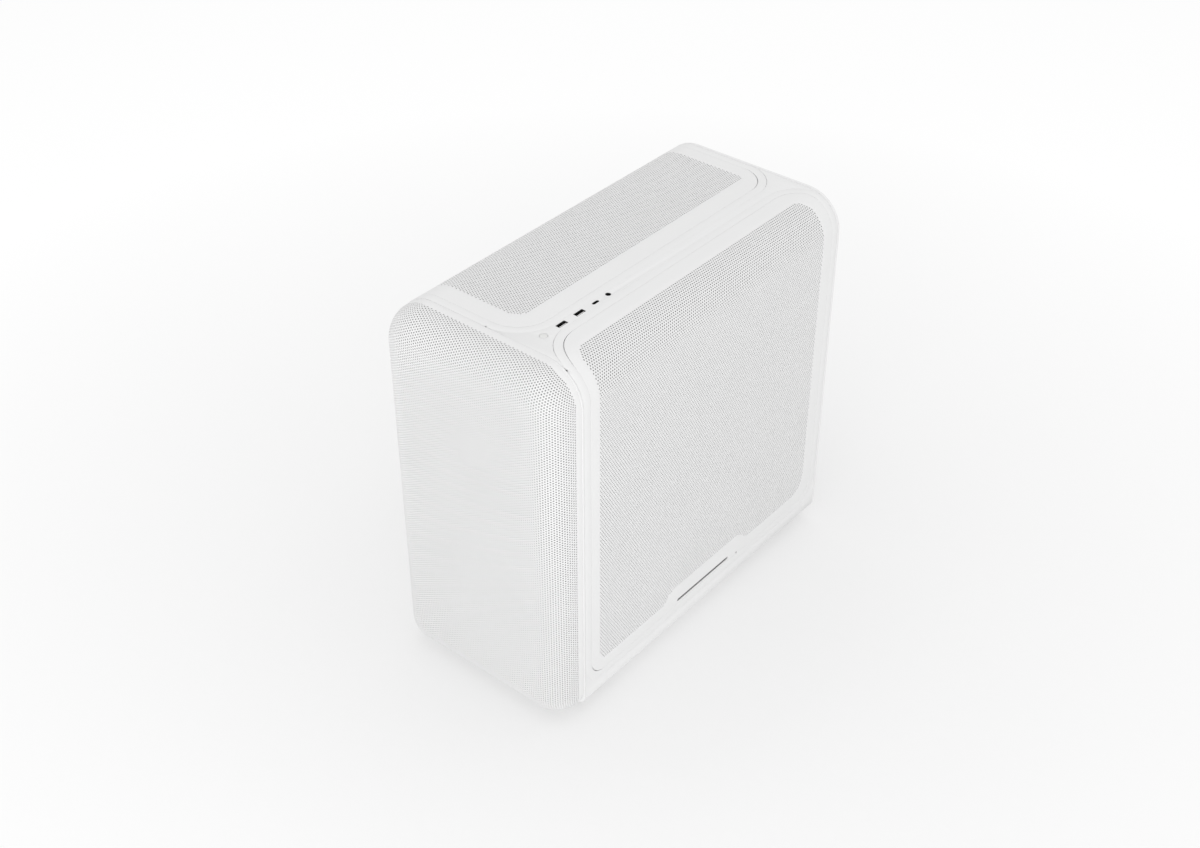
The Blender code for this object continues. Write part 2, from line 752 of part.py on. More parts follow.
def fan_frame(name, centre, size, depth, finish):
    """A square frame along Y with a round duct, and a motor boss on three struts."""
    half = size / 2
    cx, cy, cz = centre
    outline = rounded_outline(
        (cx - half, cz - half), (cx + half, cz + half), (FAN_CORNER,) * 4, 3
    )
    duct = circle(cx, cz, half - FAN_WALL, 30)
    frame = plate(name, [outline, duct], depth, "XZ", cy, finish)
    boss_radius, boss_depth = FAN_BOSS
    boss_y = cy + depth / 2 - boss_depth / 2
    boss = cylinder(
        f"{name}_boss", (cx, boss_y, cz), boss_radius, boss_depth, "Y", None, cutters, 12
    )
    boolean(frame, boss, "UNION")
    strut_start = boss_radius * 0.75
    width, thickness = STRUT
    for k in range(3):
        turn = radians(90 + 120 * k)
        strut = box(
            f"{name}_strut_{k}",
            (strut_start, boss_y - thickness / 2, -width / 2),
            (half, boss_y + thickness / 2, width / 2),
            None,
            cutters,
        )
        middle = Vector((strut_start + half, 0, 0)) / 2
        spin = Matrix.Rotation(-turn, 4, "Y")
        strut.matrix_world = (
            Matrix.Translation((cx, boss_y, cz)) @ spin @ Matrix.Translation(middle)
        )
        boolean(frame, strut, "UNION")
    smooth(frame, 40)
    return frame


def make_fans():
    """Three intake fans, one exhaust fan, and the cooler's own: frame and rotor each."""
    rotor = rotor_mesh(FAN_SIZE / 2 - FAN_WALL - 2 * MM, ROTOR_HUB, ROTOR_DEPTH)
    shift = Vector((0, -ROTOR_SHIFT, 0))
    places = [
        (f"front_fan_{k + 1}", (0, FRONT_FAN_Y, FRONT_FAN_LOW_Z + k * FAN_PITCH))
        for k in range(3)
    ]
    places.append(("rear_fan", (REAR_FAN_X, WALL_Y - SHEET - CLEAR - FAN_DEPTH / 2, REAR_FAN_Z)))
    places.append(("cooler_fan", COOLER_FAN))
    for name, centre in places:
        fan_frame(f"{name}_frame", centre, FAN_SIZE, FAN_DEPTH, DARK_PLASTIC)
        place_rotor(f"{name}_rotor", rotor, Vector(centre) + shift, "Y")


# ---------------------------------------------------------------- inner chassis


def make_chassis():
    """The front frame with the rails of its fans, the board's tray, the supply's shelf, and the feet."""
    frame = plate(
        "front_frame",
        [body_outline(0, 7), body_outline(FRAME_WIDTH, 5)],
        FRONT_LIP,
        "XZ",
        BODY_FRONT + FRONT_LIP / 2,
        WHITE_PAINT,
    )
    rail_low, rail_high = BODY_BOTTOM + SKIN + CLEAR, HEIGHT - SKIN - 2 * CLEAR
    rail_front, rail_back = BODY_FRONT + FRONT_LIP - CLEAR, BODY_FRONT + RAIL_REACH
    for side, word in ((-1, "left"), (1, "right")):
        inner = side * (FAN_SIZE / 2 + 1 * MM)
        mid = inner + side * SHEET
        outer = side * (HALF - SKIN - 2 * CLEAR)
        angle = [
            (inner, rail_front),
            (outer, rail_front),
            (outer, rail_front + SHEET),
            (mid, rail_front + SHEET),
            (mid, rail_back),
            (inner, rail_back),
        ]
        rail = plate(
            f"rail_{word}",
            [angle if side > 0 else angle[::-1]],
            rail_high - rail_low,
            "XY",
            (rail_high + rail_low) / 2,
            None,
            cutters,
        )
        trim = plate(
            f"rail_trim_{word}",
            [body_outline(SKIN + 3 * CLEAR)],
            80 * MM,
            "XZ",
            BODY_FRONT + 20 * MM,
            None,
            cutters,
        )
        boolean(rail, trim, "INTERSECT")
        boolean(frame, rail, "UNION")

    slot_front, slot_back = CABLE_SLOT_Y
    round_end = (slot_back - slot_front) * 0.49
    slots = [
        rounded_outline(
            (slot_front, z), (slot_back, z + CABLE_SLOT_LENGTH), (round_end,) * 4, 3
        )
        for z in CABLE_SLOT_Z
    ]
    wall_inside = WALL_Y - SHEET - CLEAR
    tray = rectangle(TRAY_FRONT, SHROUD_Z + SHEET + CLEAR, wall_inside, TRAY_TOP)
    plate("motherboard_tray", [tray] + slots, SHEET, "YZ", TRAY_X + SHEET / 2, INNER_STEEL)

    left = -HALF + SKIN + 2 * MM
    right = TRAY_X + SHEET + 28 * MM
    low = BODY_BOTTOM + SKIN + 2 * MM + BOTTOM_RADIUS
    shelf = [
        (left, low),
        (left + SHEET, low),
        (left + SHEET, SHROUD_Z - SHEET),
        (right, SHROUD_Z - SHEET),
        (right, SHROUD_Z),
        (left, SHROUD_Z),
    ]
    plate(
        "supply_shroud",
        [shelf],
        wall_inside - TRAY_FRONT,
        "XZ",
        (wall_inside + TRAY_FRONT) / 2,
        WHITE_PAINT,
    )

    for word, x, y in (
        ("front_left", -FOOT_X, FOOT_FRONT_Y),
        ("front_right", FOOT_X, FOOT_FRONT_Y),
        ("rear_left", -FOOT_X, FOOT_REAR_Y),
        ("rear_right", FOOT_X, FOOT_REAR_Y),
    ):
        foot = cylinder(
            f"foot_{word}",
            (x, y, FOOT_HEIGHT / 2),
            FOOT_RADIUS,
            FOOT_HEIGHT,
            "Z",
            RUBBER,
            sides=24,
        )
        bevel(foot, 1.5 * MM, 1)


# ---------------------------------------------------------------- top ports and button


def make_top_ports():
    """Sockets in the spine on a narrow board under it, and the power button."""
    top = HEIGHT - PORT_SINK
    board_z = HEIGHT - PORT_BOARD_DROP
    box(
        "front_port_board",
        (SPINE_MIDDLE - 9 * MM, BUTTON_Y - 8 * MM, board_z - 1.6 * MM),
        (SPINE_MIDDLE + 9 * MM, JACK_Y + 10 * MM, board_z),
        BOARD,
    )
    for k, place in enumerate(USB_A_Y):
        width, length, depth = USB_A_SIZE
        tongue_width, tongue_length = USB_A_TONGUE
        socket = box(
            f"usb_a_socket_{k + 1}",
            (SPINE_MIDDLE - width / 2, place - length / 2, top - depth),
            (SPINE_MIDDLE + width / 2, place + length / 2, top),
            STEEL,
        )
        inside = box(
            f"usb_a_space_{k + 1}",
            (SPINE_MIDDLE - width / 2 + 0.4 * MM, place - length / 2 + 0.4 * MM, top - USB_A_BORE),
            (SPINE_MIDDLE + width / 2 - 0.4 * MM, place + length / 2 - 0.4 * MM, top + 1 * MM),
            None,
            cutters,
        )
        tongue = box(
            f"usb_a_tongue_{k + 1}",
            (SPINE_MIDDLE + 0.2 * MM, place - tongue_length / 2, top - USB_A_BORE - 1 * MM),
            (
                SPINE_MIDDLE + 0.2 * MM + tongue_width,
                place + tongue_length / 2,
                top - 1.2 * MM,
            ),
            None,
            cutters,
        )
        boolean(socket, inside)
        boolean(socket, tongue, "UNION")

    width, length, depth = USB_C_SIZE
    outer = rounded_outline(
        (SPINE_MIDDLE - width / 2, USB_C_Y - length / 2),
        (SPINE_MIDDLE + width / 2, USB_C_Y + length / 2),
        (width * 0.49,) * 4,
        4,
    )
    socket = plate("usb_c_socket", [outer], depth, "XY", top - depth / 2, STEEL)
    wall = 0.35 * MM
    inner = rounded_outline(
        (SPINE_MIDDLE - width / 2 + wall, USB_C_Y - length / 2 + wall),
        (SPINE_MIDDLE + width / 2 - wall, USB_C_Y + length / 2 - wall),
        ((width / 2 - wall) * 0.98,) * 4,
        4,
    )
    bore_depth = USB_C_BORE + 1 * MM
    bore_middle = top + 1 * MM - bore_depth / 2
    inside = plate("usb_c_space", [inner], bore_depth, "XY", bore_middle, None, cutters)
    tongue_width, tongue_length = USB_C_TONGUE
    tongue = box(
        "usb_c_tongue",
        (SPINE_MIDDLE - tongue_width / 2, USB_C_Y - tongue_length / 2, top - depth + 1 * MM),
        (SPINE_MIDDLE + tongue_width / 2, USB_C_Y + tongue_length / 2, top - 0.8 * MM),
        None,
        cutters,
    )
    boolean(socket, inside)
    boolean(socket, tongue, "UNION")

    jack_middle = (SPINE_MIDDLE, JACK_Y, top - JACK_DEPTH / 2)
    jack = cylinder(
        "audio_socket", jack_middle, JACK_RADIUS, JACK_DEPTH, "Z", DARK_PLASTIC, sides=20
    )
    bore = cylinder(
        "audio_bore",
        (SPINE_MIDDLE, JACK_Y, top - JACK_DEPTH / 2 + 2 * MM),
        JACK_BORE,
        JACK_DEPTH,
        "Z",
        None,
        cutters,
        16,
    )
    boolean(jack, bore)

    stem_low = board_z + BUTTON_TRAVEL + 1 * MM
    button = cylinder(
        "power_button",
        (SPINE_MIDDLE, BUTTON_Y, (stem_low + HEIGHT) / 2),
        BUTTON_RADIUS - CLEAR,
        HEIGHT - stem_low,
        "Z",
        WHITE_PLASTIC,
        sides=28,
    )
    bevel(button, 0.4 * MM, 2)


# ---------------------------------------------------------------- board and what it carries

BOARD_LEFT = BOARD_X - BOARD_SIZE[0] / 2  # the face that carries the parts
CPU_Y = 120 * MM
CPU_Z = 368 * MM
COOLER_REACH = (-78 * MM, 30 * MM)  # from the fins' outer end to their inner end
COOLER_DEPTH = 48 * MM
COOLER_FAN = (-24 * MM, CPU_Y - COOLER_DEPTH / 2 - 0.5 * MM - FAN_DEPTH / 2, CPU_Z)


def make_board():
    x0 = BOARD_LEFT
    board = box(
        "motherboard",
        (x0, BOARD_BACK - BOARD_SIZE[1], BOARD_TOP - BOARD_SIZE[2]),
        (x0 + BOARD_SIZE[0], BOARD_BACK, BOARD_TOP),
        BOARD,
    )
    slot_rows = [FIRST_SLOT_Z - k * SLOT_PITCH for k in (1, 4, 6)]
    for k, z in enumerate(slot_rows):
        strip = box(
            f"card_connector_{k}",
            (x0 - 11 * MM, BOARD_BACK - 135 * MM, z - 3.5 * MM),
            (x0 + 0.5 * MM, BOARD_BACK - 46 * MM, z + 3.5 * MM),
            None,
            cutters,
        )
        if k:
            boolean(board, strip, "UNION")
    chipset = box(
        "chipset_sink",
        (x0 - 9 * MM, 0 * MM, 165 * MM),
        (x0 + 0.5 * MM, 48 * MM, 213 * MM),
        None,
        cutters,
    )
    boolean(board, chipset, "UNION")

    box(
        "rear_port_block",
        (39 * MM, BOARD_BACK - 30 * MM, 290 * MM),
        (x0 - CLEAR, BOARD_BACK, 440 * MM),
        STEEL,
    )
    box(
        "rear_port_shield",
        (36 * MM, WALL_Y - SHEET - CLEAR - 0.8 * MM, 285 * MM),
        (82 * MM, WALL_Y - SHEET - CLEAR, 445 * MM),
        STEEL,
    )

    for k in range(2):
        y = 40 * MM + 10 * MM * k
        box(
            f"memory_module_{k + 1}",
            (42 * MM, y, 301 * MM),
            (x0 - CLEAR, y + 5 * MM, 435 * MM),
            DARK_PLASTIC,
        )


def make_cooler():
    """Fins on a base block, in one piece: a comb of fins joined by four heat pipes."""
    low, high = COOLER_REACH
    half_z = 60 * MM
    pipes_x = (low + 2 * MM, BOARD_LEFT - 8 * MM)
    sink = box(
        "cooler_heatsink",
        (BOARD_LEFT - 12 * MM, CPU_Y - 20 * MM, CPU_Z - 20 * MM),
        (BOARD_LEFT - CLEAR, CPU_Y + 20 * MM, CPU_Z + 20 * MM),
        ALUMINIUM,
    )
    fins = 8
    pitch = (high - low) / fins
    for k in range(fins):
        x = low + pitch * k
        fin = box(
            f"fin_{k}",
            (x, CPU_Y - COOLER_DEPTH / 2, CPU_Z - half_z),
            (x + 2.0 * MM, CPU_Y + COOLER_DEPTH / 2, CPU_Z + half_z),
            None,
            cutters,
        )
        boolean(sink, fin, "UNION")
    for k, (dy, dz) in enumerate(((-10, -14), (10, -14), (-10, 14), (10, 14))):
        pipe = cylinder(
            f"heat_pipe_{k}",
            ((pipes_x[0] + pipes_x[1]) / 2, CPU_Y + dy * MM, CPU_Z + dz * MM),
            3 * MM,
            pipes_x[1] - pipes_x[0],
            "X",
            None,
            cutters,
            6,
        )
        boolean(sink, pipe, "UNION")


CARD_FRONT = -40 * MM
CARD_TOP_Z = FIRST_SLOT_Z - SLOT_PITCH + 1.5 * MM
CARD_FAN_Y = (10 * MM, 118 * MM)
CARD_FAN_RADIUS = 42 * MM
CARD_HUB = 14 * MM
CARD_ROTOR_DEPTH = 9 * MM
CARD_X = (-38 * MM, 66 * MM)
CARD_DEPTH = 29 * MM


def make_graphics_card():
    """A two-slot card: board, shroud with two fan wells, rotors, and the bracket at the rear."""
    low_x, high_x = CARD_X
    back = WALL_Y - SHEET - 4 * MM
    box(
        "graphics_board",
        (low_x, CARD_FRONT + 6 * MM, CARD_TOP_Z - 1.6 * MM),
        (BOARD_LEFT - CLEAR, back, CARD_TOP_Z),
        BOARD,
    )
    shroud_top = CARD_TOP_Z - 1.6 * MM - CLEAR
    shroud = box(
        "graphics_shroud",
        (low_x, CARD_FRONT, shroud_top - CARD_DEPTH),
        (high_x, back, shroud_top),
        DARK_PLASTIC,
    )
    bevel(shroud, 3 * MM, 2)
    rotor = rotor_mesh(CARD_FAN_RADIUS - 1.5 * MM, CARD_HUB, CARD_ROTOR_DEPTH)
    for k, y in enumerate(CARD_FAN_Y):
        middle = ((low_x + high_x) / 2, y, shroud_top - CARD_DEPTH)
        well = cylinder(
            f"fan_well_{k}", middle, CARD_FAN_RADIUS, 40 * MM, "Z", None, cutters, 28
        )
        boolean(shroud, well)
        place_rotor(
            f"graphics_fan_{k + 1}_rotor", rotor, Vector(middle) + Vector((0, 0, 7 * MM)), "Z"
        )
    smooth(shroud)
    bracket_low = FIRST_SLOT_Z - 2 * SLOT_PITCH - BLANK_WIDTH / 2
    box(
        "graphics_bracket",
        (SLOT_OUTER_X - SLOT_LENGTH, WALL_Y - SHEET - CLEAR - 1 * MM, bracket_low),
        (SLOT_OUTER_X, WALL_Y - SHEET - CLEAR, FIRST_SLOT_Z - SLOT_PITCH + BLANK_WIDTH / 2),
        STEEL,
    )


def make_slot_covers():
    """One blank for each free expansion slot: the first and the last four."""
    for k in (0, 3, 4, 5, 6):
        z = FIRST_SLOT_Z - k * SLOT_PITCH
        box(
            f"slot_cover_{k + 1}",
            (SLOT_OUTER_X - SLOT_LENGTH, WALL_Y - SHEET - CLEAR - 1 * MM, z - BLANK_WIDTH / 2),
            (SLOT_OUTER_X, WALL_Y - SHEET - CLEAR, z + BLANK_WIDTH / 2),
            INNER_STEEL,
        )


# ---------------------------------------------------------------- power supply


def make_power_supply():
    """A steel box that is open at its fan below, with the inlet and the rocker in its back."""
    width, depth, height = PSU_SIZE
    back = WALL_Y - SHEET - CLEAR
    low, high = PSU_LOW_Z, PSU_LOW_Z + height
    case = box(
        "power_supply_case", (-width / 2, back - depth, low), (width / 2, back, high), INNER_STEEL
    )
    wall = 1.2 * MM
    inside = box(
        "supply_space",
        (-width / 2 + wall, back - depth + wall, low + wall),
        (width / 2 - wall, back - wall, high - wall),
        None,
        cutters,
    )
    fan_middle = (0, PSU_FAN_Y, low)
    air_hole = cylinder(
        "supply_air_hole", fan_middle, PSU_AIR_RADIUS, 8 * MM, "Z", None, cutters, 36
    )
    inlet_hole = box(
        "inlet_hole",
        (INLET_X - 16 * MM, back - 4 * MM, INLET_Z - 12 * MM),
        (INLET_X + 16 * MM, back + 4 * MM, INLET_Z + 12 * MM),
        None,
        cutters,
    )
    rocker_hole = box(
        "rocker_hole",
        (ROCKER_PIVOT[0] - 8 * MM, back - 4 * MM, ROCKER_PIVOT[2] - 10 * MM),
        (ROCKER_PIVOT[0] + 8 * MM, back + 4 * MM, ROCKER_PIVOT[2] + 10 * MM),
        None,
        cutters,
    )
    for cutter in (inside, air_hole, inlet_hole, rocker_hole):
        boolean(case, cutter)

    rotor = rotor_mesh(PSU_ROTOR_RADIUS, ROTOR_HUB - 1 * MM, ROTOR_DEPTH - 3 * MM)
    place_rotor(
        "power_supply_fan_rotor", rotor, Vector(fan_middle) + Vector((0, 0, 12 * MM)), "Z"
    )
    make_inlet(back)
    make_rocker()


INLET_X, INLET_Z = 44 * MM, 74 * MM
INLET_HALF = (15.5 * MM, 11.5 * MM)
RECESS_HALF = (12.2 * MM, 8.2 * MM)
RECESS_CHAMFER = 4.8 * MM  # its two upper corners are cut off
RECESS_DEPTH = 16 * MM


def make_inlet(back):
    """A three-pin mains inlet: a recess with three flat pins standing in it."""
    middle_x, middle_z = INLET_X, INLET_Z
    half_x, half_z = INLET_HALF
    inlet = box(
        "mains_inlet",
        (middle_x - half_x, back - 22 * MM, middle_z - half_z),
        (middle_x + half_x, back, middle_z + half_z),
        DARK_PLASTIC,
    )
    half_x, half_z = RECESS_HALF
    outline = [
        (middle_x - half_x, middle_z - half_z),
        (middle_x + half_x, middle_z - half_z),
        (middle_x + half_x, middle_z + half_z - RECESS_CHAMFER),
        (middle_x + half_x - RECESS_CHAMFER, middle_z + half_z),
        (middle_x - half_x + RECESS_CHAMFER, middle_z + half_z),
        (middle_x - half_x, middle_z + half_z - RECESS_CHAMFER),
    ]
    cut_depth = RECESS_DEPTH + 4 * MM
    cut_middle = back - RECESS_DEPTH + cut_depth / 2
    recess = plate("inlet_recess", [outline], cut_depth, "XZ", cut_middle, None, cutters)
    boolean(inlet, recess)
    for k, (dx, dz) in enumerate(((-7, -1), (0, 3), (7, -1))):
        pin = box(
            f"inlet_pin_{k}",
            (middle_x + (dx - 1) * MM, back - 17 * MM, middle_z + (dz - 2) * MM),
            (middle_x + (dx + 1) * MM, back - 1.5 * MM, middle_z + (dz + 2) * MM),
            None,
            cutters,
        )
        boolean(inlet, pin, "UNION")


ROCKER_TIP = 8.0  # degrees to each side of level
ROCKER_PIVOT = (10 * MM, WALL_Y - SHEET - CLEAR - 5 * MM, 74 * MM)


def make_rocker():
    """A rocker that tips about a level pin in its hole in the supply's back."""
    x, _, z = ROCKER_PIVOT
    y = ROCKER_PIVOT[1]
    profile = [
        (y - 4 * MM, z - 3 * MM),
        (y + 3.4 * MM, z - 7.0 * MM),
        (y + 2.4 * MM, z),
        (y + 3.4 * MM, z + 7.0 * MM),
        (y - 4 * MM, z + 3 * MM),
    ]
    rocker = plate("rocker_switch", [profile], 10.2 * MM, "YZ", x, DARK_PLASTIC)
    for vert in rocker.data.vertices:
        vert.co -= Vector(ROCKER_PIVOT)
    rocker.location = ROCKER_PIVOT
    rocker.rotation_euler = (radians(-ROCKER_TIP), 0, 0)


# ---------------------------------------------------------------- drives and lower filter

DRIVE_CAGE_X = (-36 * MM, 116 * MM)
DRIVE_CAGE_Y = (-150 * MM, -40 * MM)
DRIVE_CAGE_Z = (20 * MM, 84 * MM)


def make_drives():
    """A cage open on the left, with two trays that pull out that way."""
    (x0, x1), (y0, y1), (z0, z1) = DRIVE_CAGE_X, DRIVE_CAGE_Y, DRIVE_CAGE_Z
    section = rectangle(y0, z0, y1, z1)
    middle_z = (z0 + z1) / 2
    wall = 1.2 * MM
    spaces = [
        rectangle(y0 + wall, z0 + wall, y1 - wall, middle_z - wall / 2),
        rectangle(y0 + wall, middle_z + wall / 2, y1 - wall, z1 - wall),
    ]
    plate("drive_cage", [section] + spaces, x1 - x0, "YZ", (x0 + x1) / 2, INNER_STEEL)
    for k, floor in enumerate((z0 + wall, middle_z + wall / 2)):
        low_z = floor + CLEAR
        tray = box(
            f"drive_tray_{k + 1}",
            (x0 - 4 * MM, y0 + wall + CLEAR, low_z),
            (x1 - 6 * MM, y1 - wall - CLEAR, low_z + 27 * MM),
            DARK_PLASTIC,
        )
        well = box(
            f"tray_well_{k}",
            (x0 + 2 * MM, y0 + wall + 3 * MM, low_z + 2 * MM),
            (x1 - 8 * MM, y1 - wall - 3 * MM, low_z + 40 * MM),
            None,
            cutters,
        )
        boolean(tray, well)
    low_z = z0 + wall + CLEAR + 2 * MM + CLEAR
    box(
        "hard_drive",
        (x0 + 2.5 * MM, y0 + wall + 3.4 * MM, low_z),
        (x1 - 9 * MM, y1 - wall - 3.4 * MM, low_z + 23 * MM),
        ALUMINIUM,
    )


def make_lower_filter():
    """A filter under the supply's air window, which slides out to the rear."""
    frame = box(
        "lower_filter",
        (-72 * MM, 78 * MM, BODY_BOTTOM - CLEAR - 3 * MM),
        (72 * MM, 236 * MM, BODY_BOTTOM - CLEAR),
        DARK_PLASTIC,
    )
    for k in range(4):
        x = (-66 + 33.6 * k) * MM
        window = box(
            f"filter_window_{k}",
            (x, 84 * MM, BODY_BOTTOM - 2.6 * MM),
            (x + 31 * MM, 230 * MM, BODY_BOTTOM + 1 * MM),
            None,
            cutters,
        )
        boolean(frame, window)


make_covers()
make_spine()
make_tub()
make_rear()
make_front_cover()
make_chassis()
make_top_ports()
make_board()
make_cooler()
make_fans()
make_graphics_card()
make_slot_covers()
make_power_supply()
make_drives()
make_lower_filter()
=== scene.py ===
"""Looks of the desktop tower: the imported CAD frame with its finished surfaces, floor, light and camera.

Metres, in the row frame: +Z up, the front faces -Y, and +X is on the right of someone who looks at the
front. The gathered small shapes are given in millimetres.
"""

import json
from math import cos, pi, radians, sin, sqrt

import bmesh
import bpy
import numpy as np
from mathutils import Matrix, Vector


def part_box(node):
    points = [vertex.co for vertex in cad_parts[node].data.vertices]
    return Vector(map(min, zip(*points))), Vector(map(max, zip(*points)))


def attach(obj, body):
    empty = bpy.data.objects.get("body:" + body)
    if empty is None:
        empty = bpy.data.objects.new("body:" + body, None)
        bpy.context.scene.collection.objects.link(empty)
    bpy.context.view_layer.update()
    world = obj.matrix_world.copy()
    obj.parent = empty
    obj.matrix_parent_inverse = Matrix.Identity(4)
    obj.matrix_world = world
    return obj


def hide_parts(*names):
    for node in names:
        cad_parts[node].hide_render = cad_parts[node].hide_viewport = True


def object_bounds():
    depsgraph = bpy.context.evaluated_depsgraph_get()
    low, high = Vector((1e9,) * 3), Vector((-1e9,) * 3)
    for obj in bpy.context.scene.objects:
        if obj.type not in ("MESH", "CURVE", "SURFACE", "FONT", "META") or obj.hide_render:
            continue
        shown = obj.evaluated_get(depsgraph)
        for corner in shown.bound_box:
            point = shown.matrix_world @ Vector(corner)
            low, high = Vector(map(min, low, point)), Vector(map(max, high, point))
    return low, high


MM = 0.001

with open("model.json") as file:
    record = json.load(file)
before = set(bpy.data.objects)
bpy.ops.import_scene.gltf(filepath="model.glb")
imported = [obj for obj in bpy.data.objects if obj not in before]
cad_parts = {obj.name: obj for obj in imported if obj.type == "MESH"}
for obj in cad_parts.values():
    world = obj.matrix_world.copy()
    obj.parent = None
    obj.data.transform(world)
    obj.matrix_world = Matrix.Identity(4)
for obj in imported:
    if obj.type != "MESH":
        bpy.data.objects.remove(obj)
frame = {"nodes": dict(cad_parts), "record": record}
nodes = frame["nodes"]
cad_low, cad_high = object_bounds()

# Sizes that the CAD gives
FRONT, HEIGHT = cad_low.y, cad_high.z
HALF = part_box("right_rim")[1].x
BODY_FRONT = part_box("front_frame")[0].y
COVER_LOW, COVER_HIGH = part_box("right_side_cover")
LEFT_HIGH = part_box("left_and_top_cover")[1]
FRONT_HALF_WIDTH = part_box("front_cover_skin")[1].x
FRONT_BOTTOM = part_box("front_cover_skin")[0].z
FRONT_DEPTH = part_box("front_cover_skin")[1].y - FRONT

# Sizes of the bent sheet, as the CAD source has them
TOP_RADIUS = 44.0 * MM
FRONT_ROLL = 34.0 * MM
SKIN = 1.6 * MM
GAP = 0.4 * MM
CLEAR = 0.3 * MM
RIM = 10.0 * MM
FRONT_CORNER = 40.5 * MM
BACK_CORNER = 36.0 * MM
LOW_FRONT_CORNER = 20.0 * MM
LOW_BACK_CORNER = 28.0 * MM
FLAT_HALF = HALF - TOP_RADIUS
ROLL_LENGTH = TOP_RADIUS * pi / 2
COVER_BOTTOM = COVER_LOW.z - GAP / 2
COVER_FRONT = COVER_LOW.y - GAP / 2
COVER_BACK = COVER_HIGH.y + GAP / 2
RIGHT_COVER_TOP = COVER_LOW.x - GAP / 2
LEFT_COVER_TOP = LEFT_HIGH.x + GAP / 2

# Perforation
PITCH = 3.2 * MM
HOLE = 0.98 * MM
SHEET_DEPTH = 0.9 * MM
SHEET_INSET = 0.03 * MM
TUCK = 4.0 * MM  # how far the sheet runs on under the plain border

# Visible seams: the width between two skins, and the rounding of their edges
COVER_SEAM = 0.16 * MM
RIM_SEAM = 0.06 * MM
EDGE = 0.08 * MM
NO_EASE = (0.0,) * 4
# How far each corner (front, low front, low back, back) stands back from its neighbour
COVER_EASE = {
    "right": (2.2 * MM, 1.8 * MM, 0.3 * MM, 0.5 * MM),
    "left": (0.5 * MM, 1.0 * MM, 0.3 * MM, 2.0 * MM),
}
RIM_EASE = {
    "right": (1.2 * MM, 0.0, 0.0, 0.3 * MM),
    "left": (0.2 * MM, 0.0, 0.0, 1.2 * MM),
}


# ---------------------------------------------------------------- materials

GLOSS_VARY = 0.06
GRAIN_DEPTH = 0.1 * MM


def nodes_of(name):
    made = bpy.data.materials.new(name)
    made.use_nodes = True
    tree = made.node_tree
    return made, tree, tree.nodes["Principled BSDF"]


def add(tree, kind, **values):
    """A shader node. Each value is for an input, its spaces written _, or for a setting of the node."""
    node = tree.nodes.new(kind)
    for key, value in values.items():
        label = key.replace("_", " ")
        if label in node.inputs:
            node.inputs[label].default_value = value
        else:
            setattr(node, key, value)
    return node


def finish_of(
    name,
    colour,
    roughness,
    metallic=0.0,
    grain=900.0,
    bump=0.1,
    vary=0.03,
    patch=14.0,
    stretch=(1, 1, 1),
    specular=0.5,
):
    """A painted, moulded or metal surface: fine grain in the bump, slow changes in colour and gloss."""
    made, tree, shader = nodes_of(name)
    link = tree.links.new
    place = add(tree, "ShaderNodeTexCoord")
    scale = add(tree, "ShaderNodeMapping", Scale=stretch)
    link(place.outputs["Object"], scale.inputs["Vector"])

    fine = add(tree, "ShaderNodeTexNoise", Scale=grain, Detail=3.0, Roughness=0.6)
    slow = add(tree, "ShaderNodeTexNoise", Scale=patch, Detail=4.0, Roughness=0.55)
    link(scale.outputs["Vector"], fine.inputs["Vector"])
    link(place.outputs["Object"], slow.inputs["Vector"])

    tint = add(tree, "ShaderNodeMix", data_type="RGBA")
    low = [max(c * (1 - vary), 0.0) for c in colour]
    high = [min(c * (1 + vary), 1.0) for c in colour]
    tint.inputs["A"].default_value = (*low, 1)
    tint.inputs["B"].default_value = (*high, 1)
    blend = add(tree, "ShaderNodeMapRange", From_Min=0.3, From_Max=0.7)
    both = add(tree, "ShaderNodeMath", operation="MULTIPLY_ADD")
    both.inputs[1].default_value = 0.35
    link(fine.outputs["Fac"], both.inputs[0])
    scaled = add(tree, "ShaderNodeMath", operation="MULTIPLY")
    scaled.inputs[1].default_value = 0.65
    link(slow.outputs["Fac"], scaled.inputs[0])
    link(scaled.outputs[0], both.inputs[2])
    link(both.outputs[0], blend.inputs["Value"])
    link(blend.outputs["Result"], tint.inputs["Factor"])
    link(tint.outputs["Result"], shader.inputs["Base Color"])

    dull, bright = roughness + GLOSS_VARY, roughness - GLOSS_VARY
    gloss = add(tree, "ShaderNodeMapRange", To_Min=bright, To_Max=dull)
    link(both.outputs[0], gloss.inputs["Value"])
    link(gloss.outputs["Result"], shader.inputs["Roughness"])

    raised = add(tree, "ShaderNodeBump", Strength=bump, Distance=GRAIN_DEPTH)
    link(fine.outputs["Fac"], raised.inputs["Height"])
    link(raised.outputs["Normal"], shader.inputs["Normal"])
    shader.inputs["Metallic"].default_value = metallic
    shader.inputs["Specular IOR Level"].default_value = specular
    return made


